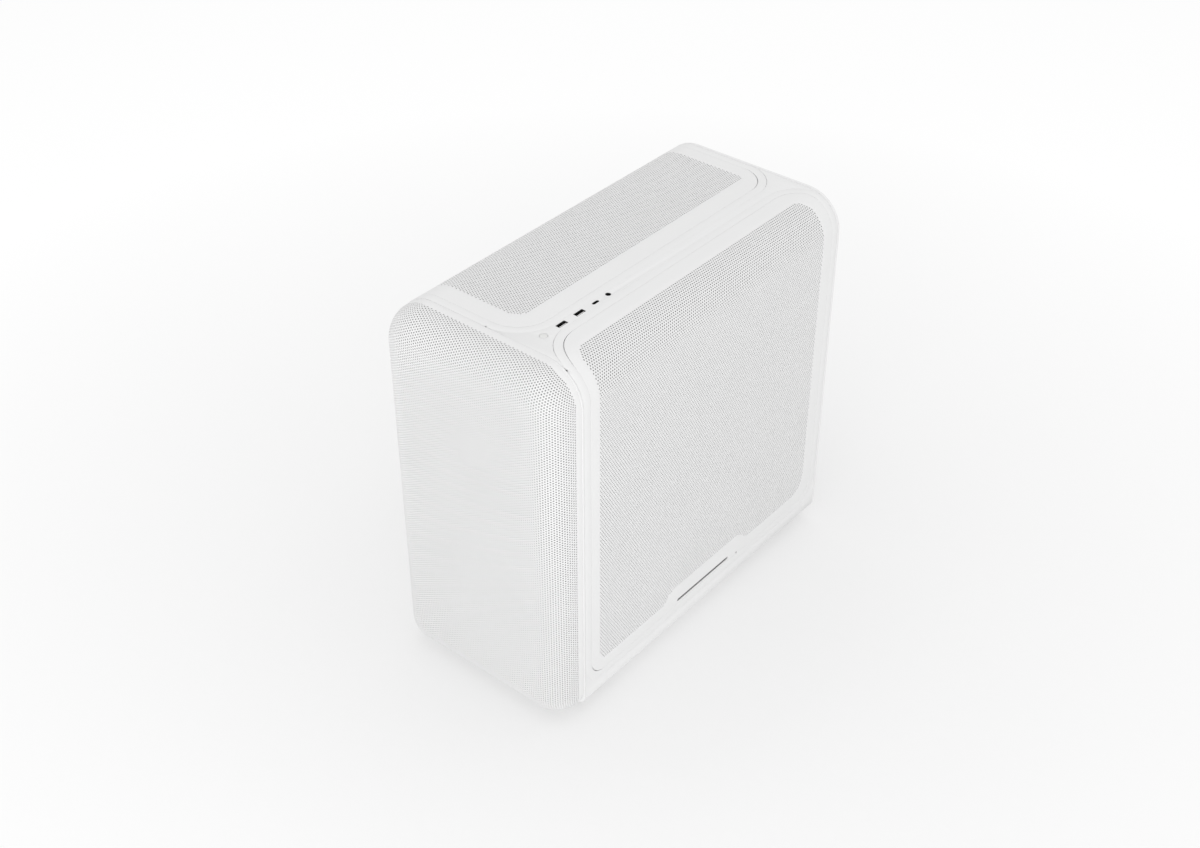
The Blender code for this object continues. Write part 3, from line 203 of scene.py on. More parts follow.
def cloth_finish(name, colour):
    """Fine woven mesh: two crossed sets of threads."""
    made, tree, shader = nodes_of(name)
    link = tree.links.new
    place = add(tree, "ShaderNodeTexCoord")
    waves = []
    for axis in ("X", "Y", "Z"):
        wave = add(tree, "ShaderNodeTexWave", bands_direction=axis, Scale=80.0)
        link(place.outputs["Object"], wave.inputs["Vector"])
        waves.append(wave)
    first = add(tree, "ShaderNodeMath", operation="MAXIMUM")
    second = add(tree, "ShaderNodeMath", operation="MAXIMUM")
    link(waves[0].outputs["Fac"], first.inputs[0])
    link(waves[1].outputs["Fac"], first.inputs[1])
    link(first.outputs[0], second.inputs[0])
    link(waves[2].outputs["Fac"], second.inputs[1])
    tint = add(tree, "ShaderNodeMix", data_type="RGBA")
    tint.inputs["A"].default_value = (*[c * 0.72 for c in colour], 1)
    tint.inputs["B"].default_value = (*colour, 1)
    link(second.outputs[0], tint.inputs["Factor"])
    link(tint.outputs["Result"], shader.inputs["Base Color"])
    gloss = add(tree, "ShaderNodeMapRange", To_Min=0.9, To_Max=0.75)
    link(second.outputs[0], gloss.inputs["Value"])
    link(gloss.outputs["Result"], shader.inputs["Roughness"])
    raised = add(tree, "ShaderNodeBump", Strength=0.5, Distance=0.2 * MM)
    link(second.outputs[0], raised.inputs["Height"])
    link(raised.outputs["Normal"], shader.inputs["Normal"])
    return made


PAINT = finish_of("white_powder_coat", (0.80, 0.80, 0.80), 0.5, bump=0.08, vary=0.012)
MESH_PAINT = finish_of("white_perforated_sheet", (0.80, 0.80, 0.80), 0.5, bump=0.06, vary=0.012)
INNER = finish_of("white_inner_steel", (0.72, 0.72, 0.72), 0.42, grain=500, bump=0.1, vary=0.03)
WHITE_PLASTIC = finish_of(
    "white_moulded_plastic", (0.74, 0.74, 0.73), 0.4, grain=1500, bump=0.12, vary=0.02
)
BLACK_PLASTIC = finish_of(
    "black_moulded_plastic", (0.028, 0.028, 0.03), 0.45, grain=1400, bump=0.25, vary=0.25
)
# Near-black, dull finish put in holes, slots and openings: painted shade for their dark insides.
SHADE_BLACK = finish_of(
    "black_painted_shade", (0.008, 0.008, 0.008), 0.85, grain=900, bump=0.2, vary=0.2, specular=0.2
)
RUBBER = finish_of("pale_rubber", (0.5, 0.5, 0.5), 0.85, grain=700, bump=0.4, vary=0.2)
STEEL = finish_of(
    "plated_steel", (0.60, 0.60, 0.60), 0.3, 1.0, grain=300, bump=0.15, stretch=(1, 1, 14), vary=0.08
)
GOLD = finish_of("gold_contact", (0.78, 0.57, 0.24), 0.25, 1.0, grain=900, bump=0.1, vary=0.05)
ALUMINIUM = finish_of(
    "brushed_aluminium", (0.80, 0.80, 0.81), 0.32, 1.0, grain=260, bump=0.2, stretch=(1, 16, 1)
)
COPPER = finish_of("nickelled_copper", (0.75, 0.62, 0.55), 0.28, 1.0, grain=300, bump=0.1)
BOARD = finish_of(
    "circuit_board_mask", (0.018, 0.03, 0.024), 0.35, grain=350, bump=0.3, vary=0.35, patch=60
)
FILTER = cloth_finish("white_filter_cloth", (0.55, 0.55, 0.55))


# ---------------------------------------------------------------- helpers


def mesh_from(name, points, faces, materials, smooth=None):
    """An object from arrays: points (n, 3) and a list of (k, sides) face arrays."""
    data = bpy.data.meshes.new(name)
    points = np.asarray(points, np.float32)
    loops = np.concatenate([f.ravel() for f in faces]).astype(np.int32)
    sides = np.concatenate([np.full(len(f), f.shape[1]) for f in faces])
    starts = np.concatenate([[0], np.cumsum(sides)[:-1]]).astype(np.int32)
    data.vertices.add(len(points))
    data.vertices.foreach_set("co", points.ravel())
    data.loops.add(len(loops))
    data.loops.foreach_set("vertex_index", loops)
    data.polygons.add(len(starts))
    data.polygons.foreach_set("loop_start", starts)
    if smooth is not None:
        data.polygons.foreach_set("use_smooth", np.asarray(smooth, bool))
    for m in materials:
        data.materials.append(m)
    data.update(calc_edges=True)
    data.validate()
    obj = bpy.data.objects.new(name, data)
    bpy.context.scene.collection.objects.link(obj)
    return obj


def belt(a, b, n):
    """Four-sided faces between two rings of n points that start at a and b."""
    k = np.arange(n)
    after = (k + 1) % n
    return np.stack([a + k, a + after, b + after, b + k], -1)


def settle(obj, body, stands_for=()):
    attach(obj, body)
    if stands_for:
        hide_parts(*stands_for)
    return obj


def smooth_by_angle(obj, angle):
    obj.data.shade_smooth()
    obj.data.set_sharp_from_angle(angle=radians(angle))


def upper_bend(across, depth):
    """Developed distance from the middle of the top, over the edge and down a side, to x and z."""
    side = np.where(across >= 0, 1.0, -1.0)
    rest = np.abs(across)
    turn = np.clip((rest - FLAT_HALF) / TOP_RADIUS, 0, pi / 2)
    down = np.maximum(rest - FLAT_HALF - ROLL_LENGTH, 0)
    x = np.minimum(rest, FLAT_HALF) + (TOP_RADIUS * (turn > 0) - depth * (turn > 0)) * np.sin(turn)
    z = HEIGHT - TOP_RADIUS + (TOP_RADIUS - depth) * np.cos(turn) - down
    return side * x, z


def on_side(side):
    """Places (u, v, depth) on the body: u runs from the middle of the top down that side."""

    def place(u, v, depth):
        x, z = upper_bend(side * u, depth)
        return np.stack([x, v, z], -1)

    return place


def across_at(z):
    return FLAT_HALF + ROLL_LENGTH + HEIGHT - TOP_RADIUS - z


ROLL_DEVELOPED = FRONT_ROLL * pi / 2
CORE_HALF = FRONT_HALF_WIDTH - FRONT_ROLL
CORE_LOW, CORE_HIGH = FRONT_BOTTOM + FRONT_ROLL, HEIGHT - FRONT_ROLL
CORE_TOP_RADIUS, CORE_LOW_RADIUS = TOP_RADIUS - FRONT_ROLL, 0.6 * MM


def front_core(u, v):
    """For points of the developed front: nearest point of the flat core, distance and direction."""
    low = v < (CORE_LOW + CORE_HIGH) / 2
    radius = np.where(low, CORE_LOW_RADIUS, CORE_TOP_RADIUS)
    cx = np.clip(u, -CORE_HALF + radius, CORE_HALF - radius)
    cz = np.clip(v, CORE_LOW + radius, CORE_HIGH - radius)
    dx, dz = u - cx, v - cz
    reach = np.hypot(dx, dz)
    safe = np.maximum(reach, 1e-12)
    nx, nz = dx / safe, dz / safe
    distance = np.maximum(reach - radius, 0)
    held = np.minimum(reach, radius)
    return cx + nx * held, cz + nz * held, distance, nx, nz


def on_front(u, v, depth):
    cx, cz, t, nx, nz = front_core(u, v)
    turn = np.clip(t / FRONT_ROLL, 0, pi / 2)
    skirt = np.maximum(t - ROLL_DEVELOPED, 0)
    out = (FRONT_ROLL - depth) * np.sin(turn)
    y = FRONT + FRONT_ROLL - (FRONT_ROLL - depth) * np.cos(turn) + skirt
    return np.stack([cx + nx * out, y, cz + nz * out], -1)


def rounded_loop(u0, v0, u1, v1, radii, corner_steps, u_steps, v_steps):
    """A closed outline with even spacing, the same number of points for the same steps."""
    a, b, c, d = radii
    corners = (
        (u0 + a, v0 + a, a, 180),
        (u1 - b, v0 + b, b, 270),
        (u1 - c, v1 - c, c, 0),
        (u0 + d, v1 - d, d, 90),
    )
    arcs = []
    for cx, cy, r, start in corners:
        turn = np.radians(start + np.linspace(0, 90, corner_steps + 1))
        arcs.append(np.stack([cx + r * np.cos(turn), cy + r * np.sin(turn)], -1))
    loop = []
    for k, steps in enumerate((u_steps, v_steps, u_steps, v_steps)):
        loop.append(arcs[k])
        share = np.linspace(0, 1, steps + 1)[1:-1, None]
        loop.append(arcs[k][-1] * (1 - share) + arcs[(k + 1) % 4][0] * share)
    return np.concatenate(loop)


def ring(name, outer, inner, place, depth, rounding, rows, material, start=0.0):
    """A closed band between two outlines with the same points, its edges rounded."""
    width = np.linalg.norm(outer - inner, axis=1)[:, None]
    edge = np.minimum(rounding / np.maximum(width, 1e-9), 0.45)
    section = [(0 * edge, depth), (0 * edge, rounding)]
    for turn in (30, 60):
        section.append((edge * (1 - cos(radians(turn))), rounding * (1 - sin(radians(turn)))))
    for share in np.linspace(0, 1, rows + 1):
        section.append((edge + (1 - 2 * edge) * share, 0.0))
    for turn in (60, 30):
        section.append((1 - edge * (1 - cos(radians(turn))), rounding * (1 - sin(radians(turn)))))
    section += [(1 + 0 * edge, rounding), (1 + 0 * edge, depth)]
    for share in np.linspace(1, 0, rows + 1)[1:-1]:
        section.append((share + 0 * edge, depth))
    strips = []
    for share, down in section:
        flat = inner + (outer - inner) * share
        strips.append(place(flat[:, 0], flat[:, 1], down + start + 0 * flat[:, 0]))
    n, strip_count = len(outer), len(section)
    faces = [belt(r * n, (r + 1) % strip_count * n, n) for r in range(strip_count)]
    return outwards(mesh_from(name, np.concatenate(strips), faces, [material]))


def outwards(obj):
    bm = bmesh.new()
    bm.from_mesh(obj.data)
    bmesh.ops.recalc_face_normals(bm, faces=bm.faces)
    if bm.calc_volume(signed=True) < 0:
        bmesh.ops.reverse_faces(bm, faces=bm.faces)
    bm.to_mesh(obj.data)
    bm.free()
    smooth_by_angle(obj, 40)
    return obj


def distance_in(points, outline):
    """Signed distance of points to a closed outline, positive inside."""
    a, b = outline, np.roll(outline, -1, axis=0)
    best = np.full(len(points), 1e9)
    inside = np.zeros(len(points), bool)
    for p, q in zip(a, b):
        d = q - p
        length = max(float(d @ d), 1e-18)
        t = np.clip(((points - p) @ d) / length, 0, 1)
        best = np.minimum(best, np.linalg.norm(points - p - t[:, None] * d, axis=1))
        crosses = (p[1] > points[:, 1]) != (q[1] > points[:, 1])
        if crosses.any():
            at = p[0] + (points[:, 1] - p[1]) * d[0] / (d[1] if abs(d[1]) > 1e-15 else 1e-15)
            inside ^= crosses & (points[:, 0] < at)
    return np.where(inside, best, -best)


def hex_centres(low, high, pitch):
    """Rows along the second axis: columns a half pitch apart in turn."""
    step = pitch * sqrt(3) / 2
    rows = int((high[0] - low[0]) / step) + 1
    columns = int((high[1] - low[1]) / pitch) + 2
    i, j = np.meshgrid(np.arange(rows), np.arange(columns), indexing="ij")
    u = low[0] + i * step
    v = low[1] + (j - 0.5 * (i % 2)) * pitch
    return np.stack([u.ravel(), v.ravel()], -1)


def perforated(name, centres, holes, place, material, pitch=PITCH, hole=HOLE):
    """A sheet of six-sided cells. Where holes is true a cell has a hole with walls through the sheet."""
    turn = np.radians(60 * np.arange(6))
    corner = np.stack([np.cos(turn), np.sin(turn)], -1) * pitch / sqrt(3)
    corners = centres[:, None, :] + corner[None]
    key = np.round(corners / (pitch / sqrt(3) / 4)).astype(np.int64)
    flat_key = key.reshape(-1, 2)
    _, first, index = np.unique(flat_key, axis=0, return_index=True, return_inverse=True)
    shared = corners.reshape(-1, 2)[first]
    index = index.reshape(-1, 6)
    top = place(shared[:, 0], shared[:, 1], np.full(len(shared), SHEET_INSET))
    n = len(top)
    bored = centres[holes]
    rim = (bored[:, None, :] + (corner / np.linalg.norm(corner[0]) * hole)[None]).reshape(-1, 2)
    rim_top = place(rim[:, 0], rim[:, 1], np.full(len(rim), SHEET_INSET))
    rim_low = place(rim[:, 0], rim[:, 1], np.full(len(rim), SHEET_DEPTH))
    m = len(rim)
    points = np.concatenate([top, rim_top, rim_low])
    ring_top = n + np.arange(m).reshape(-1, 6)
    ring_low = ring_top + m
    outer = index[holes]
    after = np.roll(np.arange(6), -1)
    top_faces, walls = (
        np.stack([high, high[:, after], low[:, after], low], -1).reshape(-1, 4)
        for high, low in ((outer, ring_top), (ring_top, ring_low))
    )
    plain = index[~holes]
    faces = [top_faces, walls] + ([plain] if len(plain) else [])
    smooth = np.concatenate([np.ones(len(top_faces)), np.zeros(len(walls)), np.ones(len(plain))])
    return mesh_from(name, points, faces, [material], smooth)


def split_by(centres, parts):
    """Masks that cut the cells into bands of about equal count along the first axis."""
    row = np.round(centres[:, 0] / (PITCH * sqrt(3) / 2)).astype(int)
    row -= row.min()
    total = np.cumsum(np.bincount(row)) / len(row)
    band = np.minimum((total * parts - 1e-9).astype(int), parts - 1)
    return [band[row] == k for k in range(parts)]


def curved_plate(name, us, vs, place, depth, thickness, material):
    """A closed plate over a grid of the developed surface."""
    u, v = np.meshgrid(us, vs, indexing="ij")
    n, m = u.shape
    top = place(u.ravel(), v.ravel(), np.full(u.size, depth))
    low = place(u.ravel(), v.ravel(), np.full(u.size, depth + thickness))
    index = np.arange(u.size).reshape(n, m)
    quads = np.stack([index[:-1, :-1], index[1:, :-1], index[1:, 1:], index[:-1, 1:]], -1)
    edge = np.concatenate([index[:, 0], index[-1, 1:], index[::-1, -1][1:], index[0, ::-1][1:-1]])
    after = np.roll(edge, -1)
    sides = np.stack([edge, after, after + u.size, edge + u.size], -1)
    faces = [quads.reshape(-1, 4), quads.reshape(-1, 4)[:, ::-1] + u.size, sides]
    return outwards(mesh_from(name, np.concatenate([top, low]), faces, [material]))


def cut(obj, cutter):
    modifier = obj.modifiers.new("cut", "BOOLEAN")
    modifier.object = cutter
    modifier.solver = "EXACT"
    graph = bpy.context.evaluated_depsgraph_get()
    data = bpy.data.meshes.new_from_object(obj.evaluated_get(graph))
    obj.modifiers.clear()
    obj.data = data
    bpy.data.objects.remove(cutter)
    return obj


def prism(name, outline, low, high, axis):
    """A closed prism: outline in the two axes that follow axis in x, y, z order."""
    others = [k for k in range(3) if k != axis]
    n = len(outline)
    points = np.zeros((2 * n, 3))
    for k, at in enumerate((low, high)):
        points[k * n : (k + 1) * n, others[0]] = outline[:, 0]
        points[k * n : (k + 1) * n, others[1]] = outline[:, 1]
        points[k * n : (k + 1) * n, axis] = at
    k = np.arange(n)
    return outwards(mesh_from(name, points, [belt(0, n, n), k[None], (k[::-1] + n)[None]], []))


# ---------------------------------------------------------------- covers

FIELD_FRONT, FIELD_BACK = -179.9 * MM, 215.8 * MM
FIELD_FOOT = across_at(64.0 * MM)
PULL_SLOT_Y, PULL_SLOT_Z = FRONT + 256.7 * MM, 56.4 * MM
PULL_SLOT = (99.0 * MM, 3.4 * MM)
LOCK_HOLE_Y, LOCK_HOLE_Z, LOCK_HOLE_RADIUS = FRONT + 323.5 * MM, 52.8 * MM, 1.6 * MM


def foot_rise(v):
    """How far the plain foot of a cover rises round the pull slot."""
    up = np.clip((v + 66 * MM) / (17 * MM), 0, 1)
    down = np.clip((97 * MM - v) / (18 * MM), 0, 1)
    share = np.minimum(up, down)
    return 13 * MM * share * share * (3 - 2 * share)


def cover_loop(top, grow, ease, *steps):
    """The line on which a cover meets its rim, grown outwards, its corners eased inwards."""
    corners = (FRONT_CORNER, LOW_FRONT_CORNER, LOW_BACK_CORNER, BACK_CORNER)
    return rounded_loop(
        top - grow,
        COVER_FRONT - grow,
        across_at(COVER_BOTTOM) + grow,
        COVER_BACK + grow,
        tuple(radius + grow + more for radius, more in zip(corners, ease)),
        *steps,
    )


def slot_loop(longer, taller, radius, *steps):
    """The pull slot's outline in y and z, grown along and across."""
    length, height = PULL_SLOT
    return rounded_loop(
        PULL_SLOT_Y - length / 2 - longer,
        PULL_SLOT_Z - height / 2 - taller,
        PULL_SLOT_Y + length / 2 + longer,
        PULL_SLOT_Z + height / 2 + taller,
        (radius,) * 4,
        *steps,
    )


def make_cover(word, side, top, field_top, front, field_radii, node):
    """The plain border, the perforated sheets, the cloth behind them and the finger slot's floor, black
    as painted shade.
    """
    place = on_side(side)
    steps = (14, 130, 60)
    outer = cover_loop(top, -COVER_SEAM / 2, COVER_EASE[word], *steps)
    field = rounded_loop(field_top, front, FIELD_FOOT, FIELD_BACK, field_radii, *steps)
    at_foot = field[:, 0] > FIELD_FOOT - 1e-6
    field[at_foot, 0] -= foot_rise(field[at_foot, 1])
    border = ring(f"{word}_cover_border", outer, field, place, 1.2 * MM, EDGE, 8, PAINT)
    slot = slot_loop(0, 0, PULL_SLOT[1] * 0.49, 5, 2, 1)
    near, far = sorted((side * (HALF - 4 * MM), side * (HALF + 4 * MM)))
    cut(border, prism("slot_cutter", slot, near, far, 0))
    turn = np.radians(np.arange(0, 360, 15))
    around = LOCK_HOLE_RADIUS * np.stack([np.cos(turn), np.sin(turn)], -1)
    hole = np.array([LOCK_HOLE_Y, LOCK_HOLE_Z]) + around
    cut(border, prism("hole_cutter", hole, near, far, 0))
    smooth_by_angle(border, 40)
    settle(border, f"{word}_cover", [node])

    centres = hex_centres(
        (field_top - 3 * MM, front - 3 * MM), (FIELD_FOOT + 3 * MM, FIELD_BACK + 3 * MM), PITCH
    )
    reach = distance_in(centres, field)
    centres, reach = centres[reach > -TUCK], reach[reach > -TUCK]
    holes = reach > HOLE + 0.5 * MM
    for k, chosen in enumerate(split_by(centres, 3)):
        sheet = perforated(
            f"{word}_cover_sheet_{k + 1}", centres[chosen], holes[chosen], place, MESH_PAINT
        )
        settle(sheet, f"{word}_cover")

    us = np.arange(field_top - 3 * MM, FIELD_FOOT + 3 * MM, 3.5 * MM)
    vs = np.linspace(front - 3 * MM, FIELD_BACK + 3 * MM, 14)
    cloth = curved_plate(f"{word}_cover_cloth", us, vs, place, 1.25 * MM, 0.3 * MM, FILTER)
    settle(cloth, f"{word}_cover")

    # The finger slot's floor in the near-black finish: painted shade for the slot's dark inside.
    recess = prism(
        f"{word}_pull_slot_painted_shade",
        slot_loop(2 * MM, 1.5 * MM, 2 * MM, 4, 1, 1),
        *sorted((side * (HALF - 1.25 * MM), side * (HALF - 3.2 * MM))),
        0,
    )
    recess.data.materials.append(SHADE_BLACK)
    settle(recess, f"{word}_cover")


# The fields' corner radii run from the front of the top, by the foot, to the back of the top
RIGHT_RADII = (15 * MM, 13 * MM, 27 * MM, 20 * MM)
LEFT_RADII = (16 * MM, 13 * MM, 27 * MM, 6 * MM)
make_cover("right", 1, RIGHT_COVER_TOP, 87 * MM, FIELD_FRONT, RIGHT_RADII, "right_side_cover")
make_cover("left", -1, -LEFT_COVER_TOP, -11.5 * MM, -171.2 * MM, LEFT_RADII, "left_and_top_cover")


# ---------------------------------------------------------------- rims

NOTCH_RADIUS, NOTCH_SETBACK = 1.1 * MM, 3.0 * MM


def plug(name, u, v, radius, place, low, high):
    """A round plug square to the skin, between two depths under it."""
    turn = np.radians(np.arange(0, 360, 20))
    n = len(turn)
    us, vs = u + radius * np.cos(turn), v + radius * np.sin(turn)
    points = np.concatenate([place(us, vs, np.full(n, low)), place(us, vs, np.full(n, high))])
    k = np.arange(n)
    return outwards(mesh_from(name, points, [belt(0, n, n), k[None], n + k[None]], []))


def make_rims():
    """The rim band round each cover, its small notch with a black floor painted as shade, and the ledges
    under the seams.
    """
    steps = (16, 130, 30)
    for word, side, top, node, cusp in (
        ("right", 1, RIGHT_COVER_TOP, "right_rim", 102.5 * MM),
        ("left", -1, -LEFT_COVER_TOP, "left_rim", 5.0 * MM),
    ):
        outer = cover_loop(top, RIM + GAP / 2 - RIM_SEAM, RIM_EASE[word], *steps)
        inner = cover_loop(top, COVER_SEAM / 2, NO_EASE, *steps)
        made = ring(f"{word}_rim_band", outer, inner, on_side(side), SKIN, EDGE, 2, PAINT)
        settle(made, "chassis", [node])
        notch = (cusp, BODY_FRONT + NOTCH_SETBACK)
        cut(made, plug("notch", *notch, NOTCH_RADIUS, on_side(side), -2 * MM, 3 * MM))
        # A black disc under the notch: painted shade for the hole's dark inside.
        dark = plug(f"{word}_notch_painted_shade", *notch, 1.6 * MM, on_side(side), 1.5 * MM, 2.2 * MM)
        dark.data.materials.append(SHADE_BLACK)
        settle(dark, "chassis")
        for name, high, low, start in (
            ("cover_ledge", 4 * MM, -6 * MM, 2.0 * MM),
            ("rim_ledge", RIM + 2 * MM, RIM - 2 * MM, SKIN + 0.1 * MM),
        ):
            outer = cover_loop(top, high, NO_EASE, *steps)
            inner = cover_loop(top, low, NO_EASE, *steps)
            ledge = ring(
                f"{word}_{name}", outer, inner, on_side(side), 1.0 * MM, EDGE, 2, INNER, start
            )
            settle(ledge, "chassis")


make_rims()


# ---------------------------------------------------------------- front cover

HEM = 6.8 * MM  # plain edge of the front cover


def make_front():
    """The front cover's perforated sheets, its plain hem and the cloth behind them."""
    limit = ROLL_DEVELOPED + FRONT_DEPTH - FRONT_ROLL + CLEAR - 0.06 * MM
    half_u, low_v, high_v = CORE_HALF + limit, CORE_LOW - limit, CORE_HIGH + limit
    step = PITCH * sqrt(3) / 2
    rows = int(half_u / step) + 1
    centres = hex_centres(
        (-rows * step, (low_v + high_v) / 2 - int((high_v - low_v) / 2 / PITCH + 1) * PITCH),
        (rows * step + step / 2, high_v + PITCH),
        PITCH,
    )
    reach = front_core(centres[:, 0], centres[:, 1])[2]
    keep = reach < limit - TUCK
    centres, reach = centres[keep], reach[keep]
    holes = reach < limit - HEM
    for k, chosen in enumerate(split_by(centres, 3)):
        sheet = perforated(
            f"front_sheet_{k + 1}", centres[chosen], holes[chosen], on_front, MESH_PAINT
        )
        settle(sheet, "front_cover", ["front_cover_skin"])

    def skirt_loop(reach):
        """The outline that lies this far outside the flat core."""
        low, high = CORE_LOW_RADIUS + reach, CORE_TOP_RADIUS + reach
        sides = (-CORE_HALF - reach, CORE_LOW - reach, CORE_HALF + reach, CORE_HIGH + reach)
        return rounded_loop(*sides, (low, low, high, high), 24, 20, 30)

    outer, inner = skirt_loop(limit), skirt_loop(limit - HEM)
    hem = ring("front_hem", outer, inner, on_front, 1.4 * MM, EDGE, 3, PAINT)
    settle(hem, "front_cover")

    loops = [skirt_loop(d) for d in np.linspace(limit - 1.6 * MM, 1 * MM, 15)]
    points, faces = [], []
    n = len(loops[0])
    for start in (1.2 * MM, 1.5 * MM):
        for loop in loops:
            points.append(on_front(loop[:, 0], loop[:, 1], np.full(n, start)))
    k = np.arange(n)
    rows = len(loops)
    for layer in (0, rows):
        faces += [belt((layer + r) * n, (layer + r + 1) * n, n) for r in range(rows - 1)]
        faces.append(((layer + rows - 1) * n + k)[None])
    faces.append(belt(0, rows * n, n))
    cloth = outwards(mesh_from("front_cloth", np.concatenate(points), faces, [FILTER]))
    settle(cloth, "front_cover")


make_front()


# ---------------------------------------------------------------- gathered small shapes

# Where a turned shape's axis points
OUT_BACK = Matrix.Rotation(radians(-90), 4, "X")
OUT_LEFT = Matrix.Rotation(radians(-90), 4, "Y")
OUT_RIGHT = Matrix.Rotation(radians(90), 4, "Y")
OUT_UP = Matrix.Identity(4)
OUT_DOWN = Matrix.Rotation(radians(180), 4, "X")
OUT_FRONT = Matrix.Rotation(radians(90), 4, "X")


def join_rings(made, rings):
    """Side faces between rings of as many points, and a cap on each end."""
    for first, second in zip(rings, rings[1:]):
        for k in range(len(first)):
            n = (k + 1) % len(first)
            made.faces.new((first[k], first[n], second[n], second[k]))
    made.faces.new(rings[0][::-1])
    made.faces.new(rings[-1])


class Kit:
    """Small shapes of one body, gathered into one mesh with several finishes. Sizes in mm."""

    def __init__(self, name, *finishes):
        self.name, self.finishes, self.bm = name, finishes, bmesh.new()

    def take(self, made, finish):
        for face in made.faces:
            face.material_index = self.finishes.index(finish)
        data = bpy.data.meshes.new("scratch")
        made.to_mesh(data)
        made.free()
        self.bm.from_mesh(data)
        bpy.data.meshes.remove(data)

    def block(self, low, high, finish, rounding=0.3):
        made = bmesh.new()
        bmesh.ops.create_cube(made, size=1.0)
        low, high = Vector(low) * MM, Vector(high) * MM
        bmesh.ops.scale(made, vec=high - low, verts=made.verts)
        bmesh.ops.translate(made, vec=(low + high) / 2, verts=made.verts)
        if rounding:
            bmesh.ops.bevel(
                made,
                geom=made.edges[:],
                offset=rounding * MM,
                offset_type="OFFSET",
                segments=2,
                profile=0.5,
                affect="EDGES",
            )
        self.take(made, finish)

    def turned(self, centre, direction, profile, finish, sides=20):
        """Profile: (radius, height) from one end of the axis to the other."""
        made = bmesh.new()
        turns = [2 * pi * k / sides for k in range(sides)]
        rings = [
            [
                made.verts.new((radius * MM * cos(turn), radius * MM * sin(turn), height * MM))
                for turn in turns
            ]
            for radius, height in profile
        ]
        join_rings(made, rings)
        bmesh.ops.transform(
            made, matrix=Matrix.Translation(Vector(centre) * MM) @ direction, verts=made.verts
        )
        self.take(made, finish)

    def screw(self, centre, direction, radius, finish):
        """A pan head with a round recess."""
        shares = ((1, 0), (1, 0.35), (0.8, 0.6), (0.42, 0.68), (0.3, 0.3))
        profile = [(across * radius, up * radius) for across, up in shares]
        self.turned(centre, direction, profile, finish, 18)

    def tube(self, path, radius, finish, sides=8):
        """A round cable along a path of points."""
        made = bmesh.new()
        points = [Vector(p) * MM for p in path]
        rings = []
        across = Vector((0.3, 0.2, 1)).normalized()
        for k, point in enumerate(points):
            along = (points[min(k + 1, len(points) - 1)] - points[max(k - 1, 0)]).normalized()
            across = (across - along * across.dot(along)).normalized()
            other = along.cross(across)
            rings.append(
                [
                    made.verts.new(
                        point
                        + across * (radius * MM * cos(2 * pi * j / sides))
                        + other * (radius * MM * sin(2 * pi * j / sides))
                    )
                    for j in range(sides)
                ]
            )
        join_rings(made, rings)
        bmesh.ops.recalc_face_normals(made, faces=made.faces)
        self.take(made, finish)

    def absorb(self, obj, finish):
        """Takes a made object's mesh in, and removes the object."""
        made = bmesh.new()
        made.from_mesh(obj.data)
        bpy.data.objects.remove(obj)
        self.take(made, finish)

    def done(self, body, stands_for=(), angle=40):
        data = bpy.data.meshes.new(self.name)
        self.bm.to_mesh(data)
        self.bm.free()
        obj = bpy.data.objects.new(self.name, data)
        for finish in self.finishes:
            data.materials.append(finish)
        bpy.context.scene.collection.objects.link(obj)
        smooth_by_angle(obj, angle)
        return settle(obj, body, stands_for)


def flat_ring(name, centre, inner, outer, high, low, sides=48):
    """A flat annulus with its axis along Z. Sizes in mm."""
    turn = 2 * pi * np.arange(sides) / sides
    around = np.stack([np.cos(turn), np.sin(turn), 0 * turn], -1)
    corners = ((inner, high), (outer, high), (outer, low), (inner, low))
    rings = [around * radius + np.array([*centre, height]) for radius, height in corners]
    faces = [belt(r * sides, (r + 1) % 4 * sides, sides) for r in range(4)]
    return outwards(mesh_from(name, np.concatenate(rings) * MM, faces, []))


def curve_path(start, bend, end, steps=12):
    """Points of a soft curve from start to end, drawn towards bend."""
    a, b, c = Vector(start), Vector(bend), Vector(end)
    return [
        a * (1 - t) ** 2 + b * 2 * t * (1 - t) + c * t * t
        for t in (k / steps for k in range(steps + 1))
    ]


# ---------------------------------------------------------------- rotors

BLADES = 7
# Each fan's blade radius, hub radius and depth, mm
CASE_FAN, CARD_FAN, SUPPLY_FAN = (56, 19, 17), (40, 14, 9), (54, 18, 14)
REAR_FAN, COOLER_FAN = (-28, 221.6, 368), (-24, 80.4, 368)
CARD_FAN_X, CARD_FAN_Y = 14, (10, 118)


def make_rotor(fan, centre, direction, radius, hub, depth):
    """Swept, twisted blades on a round hub. Sizes in mm."""
    kit = Kit(f"{fan}_blades_shape", BLACK_PLASTIC, INNER)
    half = depth / 2
    rim = ((hub, -half), (hub, half - 2), (hub - 0.6, half - 0.7), (hub - 2, half))
    kit.turned(centre, direction, rim, BLACK_PLASTIC, 32)
    cap = ((hub - 4, half - 0.4), (hub - 4, half + 0.25), (hub - 4.4, half + 0.4))
    kit.turned(centre, direction, cap, INNER, 32)
    matrix = np.array(Matrix.Translation(Vector(centre) * MM) @ direction)
    for k in range(BLADES):

        def place(s, t, down):
            r = (hub * 0.96 + (radius - hub * 0.96) * s) * MM
            angle = 2 * pi * k / BLADES + 0.55 * s * s + (t - 0.5) * (0.78 - 0.12 * s)
            rise = (0.5 - t) * depth * (0.86 - 0.22 * s) * MM
            belly = 0.9 * MM * np.sin(pi * t)
            z = rise + belly - down
            local = np.stack([r * np.cos(angle), r * np.sin(angle), z, np.ones_like(z)], -1)
            return (local @ matrix.T)[:, :3]

        along, across = np.linspace(0, 1, 7), np.linspace(0, 1, 6)
        blade = curved_plate("blade", along, across, place, -0.5 * MM, 1.1 * MM, None)
        kit.absorb(blade, BLACK_PLASTIC)
    kit.done(f"{fan}_blades", [f"{fan}_rotor"], 30)


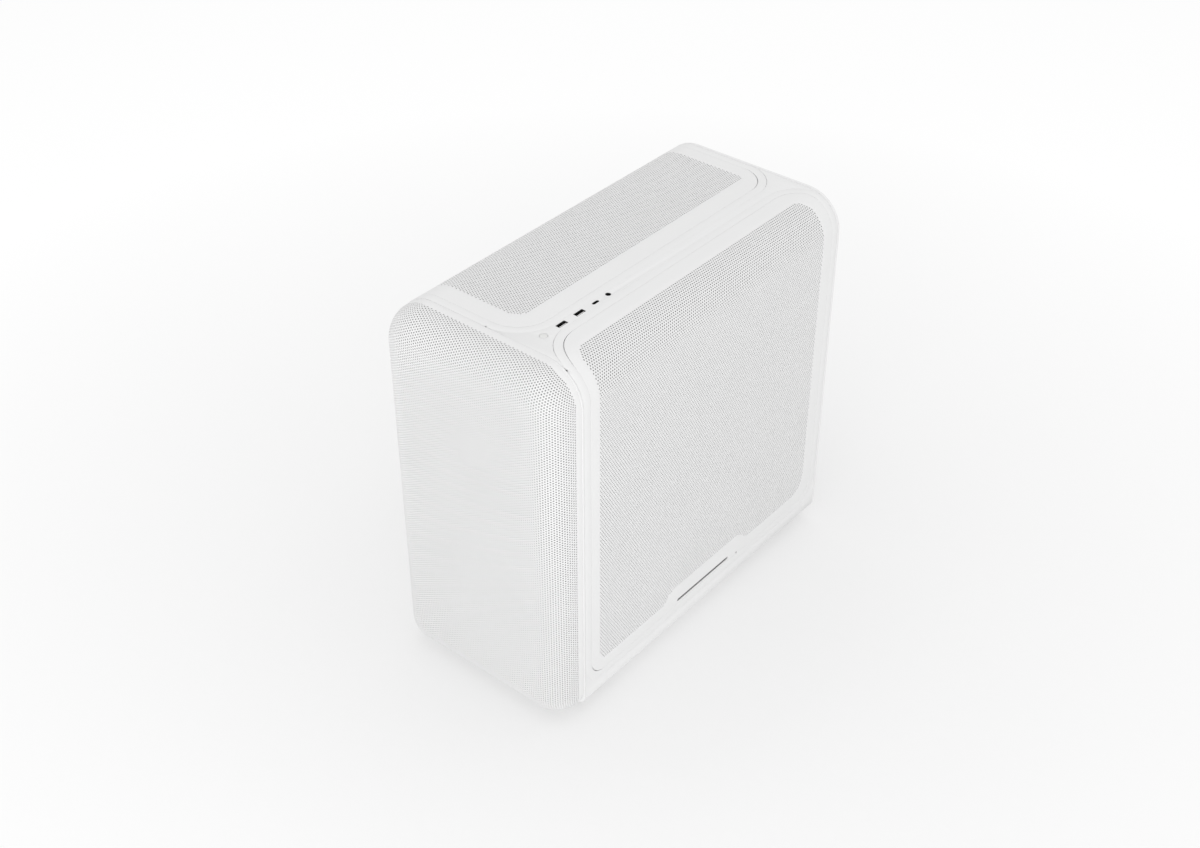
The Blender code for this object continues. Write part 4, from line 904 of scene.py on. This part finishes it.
def make_rotors():
    for k in range(3):
        make_rotor(f"front_fan_{k + 1}", (0, -190.5, 120 + 121 * k), OUT_FRONT, *CASE_FAN)
    make_rotor("rear_fan", REAR_FAN, OUT_FRONT, *CASE_FAN)
    make_rotor("cooler_fan", COOLER_FAN, OUT_FRONT, *CASE_FAN)
    for k, y in enumerate(CARD_FAN_Y):
        make_rotor(f"graphics_fan_{k + 1}", (CARD_FAN_X, y, 226.28), OUT_DOWN, *CARD_FAN)
    make_rotor("power_supply_fan", (0, 152, 32), OUT_DOWN, *SUPPLY_FAN)


make_rotors()


# ---------------------------------------------------------------- board, cooler, card

FACE = 78.2  # the board's face, mm


def make_board_parts():
    """Sockets, sinks, coils and small parts on the board's face, and the memory's spreaders."""
    kit = Kit("board_parts", BLACK_PLASTIC, STEEL, ALUMINIUM, WHITE_PLASTIC, GOLD, BOARD)
    for y in (38.6, 48.6, 58.6, 68.6):
        for low, high in ((y, y + 1.4), (y + 6.4, y + 7.8)):
            kit.block((71.5, low, 298), (FACE, high, 438), BLACK_PLASTIC, 0.2)
        for z in (294, 438):
            kit.block((69, y - 0.2, z), (FACE, y + 8, z + 4.5), WHITE_PLASTIC, 0.4)
    for z in (187.7, 147.1):
        kit.block((66.6, 100.4, z - 3.2), (67.3, 188.8, z - 1.0), STEEL, 0.1)
        kit.block((66.6, 100.4, z + 1.0), (67.3, 188.8, z + 3.2), STEEL, 0.1)
    for k in range(11):
        kit.block((58, 176 + 2.2 * k, 300), (73, 177.2 + 2.2 * k, 432), ALUMINIUM, 0.2)
    kit.block((72, 175, 298), (FACE, 200.5, 434), ALUMINIUM, 0.6)
    for k in range(13):
        kit.block((60, 84 + 6.6 * k, 433.5), (74, 88.4 + 6.6 * k, 444), ALUMINIUM, 0.2)
    kit.block((72, 82, 432.5), (FACE, 170, 445), ALUMINIUM, 0.6)
    kit.block((66.6, -6.5, 330), (FACE, 3.5, 382), WHITE_PLASTIC, 0.5)
    for k in range(4):
        kit.block((64, -7.5, 186 + 16 * k), (FACE, 5, 199 + 16 * k), BLACK_PLASTIC, 0.4)
    for low, high in (((74.6, 56, 262), (76.9, 168, 283)), ((74.6, 56, 196), (76.9, 168, 213))):
        kit.block(low, high, ALUMINIUM, 0.5)
    for k in range(9):
        kit.block((66.6, 3 + 5 * k, 167), (69.3, 5.6 + 5 * k, 211), ALUMINIUM, 0.3)
    for k in range(9):
        kit.turned((FACE, 171, 304 + 14 * k), OUT_LEFT, ((3, 0), (3, 7.4), (2.4, 8)), ALUMINIUM)
        kit.block((FACE - 5, 158, 300 + 14 * k), (FACE, 167, 309 + 14 * k), BLACK_PLASTIC, 0.5)
    kit.turned((FACE, 76, 172), OUT_LEFT, ((10.4, 0), (10.4, 1.6), (9.8, 2.8), (4, 3)), STEEL, 28)
    for k in range(60):
        y = 6 + (37 * k) % 190
        z = 146 + (53 * k) % 148
        wide, tall = 2 + (k * 7) % 5, 1.6 + (k * 5) % 4
        kit.block((FACE - 1.1, y, z), (FACE + 0.02, y + wide, z + tall), BLACK_PLASTIC, 0.1)
        kit.block((FACE - 0.6, y + wide, z), (FACE + 0.02, y + wide + 1, z + tall), GOLD, 0.1)
    for y in (-4.5, 76.6, 231.5):
        for z in (146, 290, 441.5):
            kit.screw((FACE, y, z), OUT_LEFT, 3.2, STEEL)
    kit.done("chassis")

    spread = Kit("memory_spreaders", ALUMINIUM, BLACK_PLASTIC)
    for y in (40, 50):
        for k in range(12):
            z = 303 + 11 * k
            spread.block((39.5 + (k % 2), y + 0.4, z), (44, y + 4.6, z + 9), ALUMINIUM, 0.4)
        for side in (y - 0.5, y + 5.0):
            spread.block((44, side, 304), (66, side + 0.5, 432), ALUMINIUM, 0.15)
            for k in range(5):
                z = 312 + 25 * k
                spread.block((47, side - 0.15, z), (63, side + 0.65, z + 3), BLACK_PLASTIC, 0.1)
    spread.done("chassis")


def make_cooler_parts():
    """Fins on heat pipes, over the base on the processor."""
    kit = Kit("cooler_fins", ALUMINIUM, COPPER)
    for k in range(37):
        x = -78 + 3 * k
        kit.block((x, 96, 308), (x + 0.5, 144, 428), ALUMINIUM, 0)
    kit.block((66.2, 100, 348), (77.9, 140, 388), COPPER, 0.6)
    kit.block((56, 104, 352), (66.4, 136, 384), ALUMINIUM, 1.0)
    for y, z in ((110, 354), (130, 354), (110, 382), (130, 382), (120, 360), (120, 376)):
        profile = ((1.5, -81), (2.6, -80), (3, -78), (3, 68))
        kit.turned((0, y, z), OUT_RIGHT, profile, COPPER, 14)
    for z in (316, 420):
        for y in (97.5, 142.5):
            profile = ((1.2, -79), (1.6, -78.6), (1.6, 31))
            kit.turned((0, y, z), OUT_RIGHT, profile, ALUMINIUM, 10)
    kit.done("chassis", ["cooler_heatsink"])


def make_card_parts():
    """The card's back plate, fins, connectors and fan wells."""
    kit = Kit("graphics_card_parts", BLACK_PLASTIC, ALUMINIUM, STEEL, GOLD)
    kit.block((-37.5, -39, 250.3), (66, 226, 251.3), ALUMINIUM, 0.3)
    for k in range(9):
        kit.block((-30 + 10 * k, -34, 251.25), (-25 + 10 * k, 30, 251.7), BLACK_PLASTIC, 0.2)
    for y in (44, 84, 150, 190):
        for x in (-32, 60):
            kit.screw((x, y, 251.3), OUT_UP, 2.4, STEEL)
    kit.block((-39.3, -34, 226), (-37.8, 214, 229), ALUMINIUM, 0.4)
    kit.block((-39.3, -34, 238), (-37.8, 214, 239.5), ALUMINIUM, 0.4)
    kit.block((-38.6, 88, 231), (-34, 118, 237), BLACK_PLASTIC, 0.3)
    for k in range(24):
        kit.block((-36, -30 + 10.2 * k, 246.5), (58, -29.4 + 10.2 * k, 248.2), ALUMINIUM, 0)
    for y in CARD_FAN_Y:
        kit.absorb(flat_ring("well_rim", (CARD_FAN_X, y), 42, 45, 219.1, 218.5), ALUMINIUM)
    kit.done("chassis")


make_board_parts()
make_cooler_parts()
make_card_parts()


# ---------------------------------------------------------------- rear

WALL = 238.2  # outer face of the rear wall, mm
SHIELD = 236.7  # outer face of the port shield, the slot covers and the supply, mm
FLUSH = 236.6  # where the black floors painted as shade, and the plugs, on those faces start, mm
GUARD_PITCH, GUARD_HOLE = 4.6 * MM, 2.05 * MM
TOP_SLOT, SLOT_STEP = 269, 20.32  # height of the first card slot, and from one to the next, mm


def on_rear(u, v, depth):
    """u runs up and v across the rear wall's outer face."""
    return np.stack([v, WALL * MM - depth, u], -1)


def on_supply(u, v, depth):
    return np.stack([v, SHIELD * MM - depth, u], -1)


def make_guard(name, place, centre, half_u, half_v, round_field, lift):
    """A perforated plate this far above its face: centre (up, across) and half sizes in mm."""
    low = ((centre[0] - half_u) * MM, (centre[1] - half_v) * MM)
    high = ((centre[0] + half_u) * MM, (centre[1] + half_v) * MM)
    centres = hex_centres(low, high, GUARD_PITCH)
    u, v = centres[:, 0], centres[:, 1]
    centres = centres[(u < high[0]) & (v > low[1]) & (v < high[1])]
    du = centres[:, 0] - centre[0] * MM
    dv = centres[:, 1] - centre[1] * MM
    margin = 0.8 * GUARD_PITCH
    if round_field:
        keep = np.hypot(du, dv) < half_u * MM
        holes = np.hypot(du, dv) < half_u * MM - margin
    else:
        keep = np.ones(len(du), bool)
        holes = (np.abs(du) < half_u * MM - margin) & (np.abs(dv) < half_v * MM - margin)

    def lifted(u, v, depth):
        return place(u, v, depth - lift * MM)

    return perforated(name, centres[keep], holes[keep], lifted, PAINT, GUARD_PITCH, GUARD_HOLE)


def make_port(kit, x, z, wide, tall, tongue):
    """A socket's shell of four walls, a black floor painted as the shade of its inside, and its tongue.
    Sizes in mm.
    """
    wall, out, back = 0.6, 238.1, FLUSH
    half_x, half_z = wide / 2, tall / 2
    # The back of the socket in the near-black finish: painted shade for its dark inside.
    kit.block((x - half_x, back, z - half_z), (x + half_x, back + 0.4, z + half_z), SHADE_BLACK, 0)
    for low, high in (
        ((x - half_x, back, z - half_z), (x + half_x, out, z - half_z + wall)),
        ((x - half_x, back, z + half_z - wall), (x + half_x, out, z + half_z)),
        ((x - half_x, back, z - half_z + wall), (x - half_x + wall, out, z + half_z - wall)),
        ((x + half_x - wall, back, z - half_z + wall), (x + half_x, out, z + half_z - wall)),
    ):
        kit.block(low, high, STEEL, 0.15)
    if tongue:
        inner = half_x - 1.4
        kit.block((x - inner, back + 0.3, z - 0.5), (x + inner, out - 0.5, z + 0.9), BLACK_PLASTIC, 0.2)


def make_rear_parts():
    """Ports, slot openings drawn as black strips of painted shade, screws and guards on the back."""
    kit = Kit("rear_ports", STEEL, SHADE_BLACK, BLACK_PLASTIC, GOLD, INNER)
    for x in (48.5, 69.5):
        for z in (320, 328, 378, 386):
            make_port(kit, x, z, 13.4, 6.2, True)
    make_port(kit, 48.5, 345, 15.6, 13.2, False)
    make_port(kit, 69.5, 341, 13.4, 6.2, True)
    make_port(kit, 69.5, 350, 9.6, 4.0, True)
    make_port(kit, 48.5, 363, 15.2, 5.8, True)
    make_port(kit, 69.5, 363, 16.2, 5.8, True)
    for x in (48, 59, 70):
        jack = ((4.6, 0), (4.6, 1.2), (4.2, 1.5), (2.2, 1.5), (2.1, 0.4))
        kit.turned((x, FLUSH, 301), OUT_BACK, jack, BLACK_PLASTIC, 24)
    for x in (50, 68):
        aerial = ((4.4, 0), (4.4, 1.2), (3.1, 1.3), (3.1, 6), (2.2, 6.4))
        kit.turned((x, FLUSH, 404), OUT_BACK, aerial, GOLD, 24)
    for x in (-26, -2, 22, 46):
        make_port(kit, x, 248.4, 16.4, 6.0, True)
    # Vent and card slot openings are flat near-black strips: painted shade for the dark inside.
    for k in range(12):
        x = -30 + 8 * k
        kit.block((x, FLUSH, 223), (x + 4.2, 236.95, 234), SHADE_BLACK, 0)
    for k in (0, 3, 4, 5, 6):
        z = TOP_SLOT - SLOT_STEP * k
        for j in range(12):
            x = -30 + 8 * j
            kit.block((x, FLUSH, z - 2), (x + 5.4, 236.9, z + 2), SHADE_BLACK, 0)
    for k in range(7):
        kit.screw((77, WALL, TOP_SLOT - SLOT_STEP * k), OUT_BACK, 3.4, STEEL)
    for x in (-80.5, 24.5):
        for z in (315.5, 420.5):
            kit.screw((x, WALL, z), OUT_BACK, 3.2, STEEL)
    for x, z in ((-65, 30), (65, 30), (-65, 96), (65, 96)):
        kit.screw((x, SHIELD, z), OUT_BACK, 3.0, STEEL)
    for x in (-113, 113):
        for z in (110, 380):
            thumbscrew = ((4.6, 0), (4.6, 3.4), (4.0, 4.2), (2.2, 4.2), (2.0, 3.2))
            kit.turned((x, WALL, z), OUT_BACK, thumbscrew, STEEL, 24)
    kit.done("chassis")

    border = Kit("fan_guard_border", PAINT)
    rim = flat_ring("guard_rim", (0, 0), 53.6, 59.6, 1.4, 0.0, 96)
    rim.data.transform(Matrix.Translation(Vector((REAR_FAN[0], WALL, REAR_FAN[2])) * MM) @ OUT_BACK)
    border.absorb(rim, PAINT)
    border.done("chassis")

    guard = make_guard("fan_guard", on_rear, (REAR_FAN[2], REAR_FAN[0]), 58, 58, True, 0.7)
    settle(guard, "chassis")
    vent = make_guard("supply_vent", on_supply, (63, -35), 33, 30, False, 0.8)
    settle(vent, "chassis")
    # A near-black plate behind the vent's holes: painted shade for the supply's dark inside.
    behind = Kit("supply_vent_painted_shade", SHADE_BLACK)
    behind.block((-62, FLUSH, 33), (-8, 236.75, 93), SHADE_BLACK, 0)
    behind.done("chassis")


make_rear_parts()


# ---------------------------------------------------------------- drives, filter, sockets, cables


def make_small_parts():
    """Tray handles, the lower filter's net, the top sockets' tongues and the power cables."""
    for k, (body, low) in enumerate((("lower_tray", 21.5), ("upper_tray", 52.9))):
        kit = Kit(f"drive_tray_{k + 1}_handle", BLACK_PLASTIC, STEEL)
        kit.block((-42.4, -128, low + 8), (-39.8, -62, low + 19), BLACK_PLASTIC, 1.0)
        kit.block((-43.2, -112, low + 11), (-42.2, -78, low + 16), STEEL, 0.4)
        kit.done(body)

    net = Kit("lower_filter_net", FILTER)
    for k in range(4):
        x = -66 + 33.6 * k
        net.block((x, 84, 13.9), (x + 31, 230, 14.3), FILTER, 0)
    net.done("filter_drawer")

    tongues = Kit("socket_tongues", WHITE_PLASTIC)
    for y in (-151.3, -123.9):
        tongues.block((51.5, y - 5.4, 456), (52.6, y + 5.4, 464.3), WHITE_PLASTIC, 0.15)
    tongues.done("chassis")

    cables = Kit("power_cables", BLACK_PLASTIC)
    for k in range(12):
        z = 333 + 4.2 * k
        start, end = (66.4, -1.5 + (k % 2) * 2.2, z), (84.5, -22, 300 + 3.4 * k)
        cables.tube(curve_path(start, (40, -22, z), end), 1.5, BLACK_PLASTIC)
    for k in range(8):
        start, end = (-38.2, 91 + 3.2 * k, 234), (-40 + 3.2 * k, 60, 112.2)
        cables.tube(curve_path(start, (-62, 80 + 2 * k, 170), end), 1.4, BLACK_PLASTIC)
    cables.done("chassis")


make_small_parts()


# ---------------------------------------------------------------- CAD nodes that stay

FINISH_BY_SLOT = {
    "white_paint": PAINT,
    "inner_steel": INNER,
    "white_plastic": WHITE_PLASTIC,
    "dark_plastic": BLACK_PLASTIC,
    "rubber": RUBBER,
    "circuit_board": BOARD,
    "plated_steel": STEEL,
    "aluminium_fins": ALUMINIUM,
    "filter_cloth": FILTER,
}
EDGE_ROUNDING = {
    "top_spine": 0.06,
    "power_button": 0.0,
    "rear_frame": 0.0,
    "bottom_tub": 0.08,
    "front_frame": 0.06,
}
# These socket nodes take the near-black finish: painted shade for their dark openings.
SOCKETS_IN_SHADE = ("usb_a_socket_1", "usb_a_socket_2", "usb_c_socket", "audio_socket")


def dress_cad():
    """Finishes, rounded edges and smooth bends for the CAD nodes that are still shown."""
    of_node = {row["node"]: row["material_slot"] for row in frame["record"]["subparts"]}
    for name, obj in nodes.items():
        if obj.hide_render:
            continue
        obj.data.materials.clear()
        finish = SHADE_BLACK if name in SOCKETS_IN_SHADE else FINISH_BY_SLOT[of_node[name]]
        obj.data.materials.append(finish)
        custom = obj.data.attributes.get("custom_normal")
        if custom:
            obj.data.attributes.remove(custom)
        weld = obj.modifiers.new("weld", "WELD")
        weld.merge_threshold = 0.00001
        width = EDGE_ROUNDING.get(name, 0.3)
        if width:
            edge = obj.modifiers.new("edge", "BEVEL")
            edge.width = width * MM
            edge.segments = 2
            edge.limit_method = "ANGLE"
            edge.angle_limit = radians(50)
        obj.data.shade_smooth()


dress_cad()


# ---------------------------------------------------------------- floor, light, camera

FLOOR_SIZE = 9.0
PAINTED_SHADOW_NEAR, PAINTED_SHADOW_FAR = (0.3, 0.47), (1.3, 0.60)  # distance from the middle, and how pale the floor is there: darker near the tower as a painted shadow
CAMERA_PLACE = (0.9699, -1.1981, 1.3737)
CAMERA_BACK = (0.5134, -0.6178, 0.5956)  # from what it looks at towards the camera
LIGHTS = (
    ("front_softbox", 26.0, (1.3, -2.2, 0.75), 2.0),
    ("high_softbox", 28.0, (0.0, 0.2, 4.0), 4.0),
)


def make_floor():
    bpy.ops.mesh.primitive_plane_add(size=FLOOR_SIZE, location=(0, 0, 0))
    floor = bpy.context.object
    floor.name = "floor"
    ground, tree, shader = nodes_of("floor_painted_shadow")
    # The floor's colour darkens towards the tower: a painted shadow round its base.
    place = add(tree, "ShaderNodeTexCoord")
    reach = add(tree, "ShaderNodeVectorMath", operation="LENGTH")
    shadow_fade = add(tree, "ShaderNodeMapRange", From_Min=PAINTED_SHADOW_NEAR[0], From_Max=PAINTED_SHADOW_FAR[0])
    tint = add(tree, "ShaderNodeMix", data_type="RGBA")
    tint.inputs["A"].default_value = (*[PAINTED_SHADOW_NEAR[1]] * 3, 1)
    tint.inputs["B"].default_value = (*[PAINTED_SHADOW_FAR[1]] * 3, 1)
    tree.links.new(place.outputs["Object"], reach.inputs[0])
    tree.links.new(reach.outputs["Value"], shadow_fade.inputs["Value"])
    tree.links.new(shadow_fade.outputs["Result"], tint.inputs["Factor"])
    tree.links.new(tint.outputs["Result"], shader.inputs["Base Color"])
    shader.inputs["Roughness"].default_value = 0.8
    shader.inputs["Emission Color"].default_value = (1, 1, 1, 1)
    shader.inputs["Emission Strength"].default_value = 0.43
    shader.inputs["Specular IOR Level"].default_value = 0.0
    floor.data.materials.append(ground)


def make_light():
    world = bpy.data.worlds.new("studio")
    world.use_nodes = True
    bpy.context.scene.world = world
    shade = world.node_tree.nodes["Background"]
    shade.inputs["Color"].default_value = (1, 1, 1, 1)
    shade.inputs["Strength"].default_value = 0.80

    for name, energy, place, width in LIGHTS:
        light = bpy.data.lights.new(name, "AREA")
        light.energy = energy
        light.shape = "SQUARE"
        light.size = width
        lamp = bpy.data.objects.new(name, light)
        lamp.location = place
        lamp.visible_camera = False
        aim = Vector((0, 0, 0.24)) - lamp.location
        lamp.rotation_euler = aim.to_track_quat("-Z", "Y").to_euler()
        bpy.context.scene.collection.objects.link(lamp)


def make_camera():
    lens = bpy.data.cameras.new("camera")
    lens.lens = 50
    lens.sensor_width = 36
    lens.clip_start, lens.clip_end = 0.05, 50
    camera = bpy.data.objects.new("camera", lens)
    camera.location = CAMERA_PLACE
    camera.rotation_mode = "QUATERNION"
    camera.rotation_quaternion = (-Vector(CAMERA_BACK)).to_track_quat("-Z", "Y")
    bpy.context.scene.collection.objects.link(camera)
    bpy.context.scene.camera = camera
    bpy.context.scene.view_settings.view_transform = "Standard"


make_floor()
make_light()
make_camera()
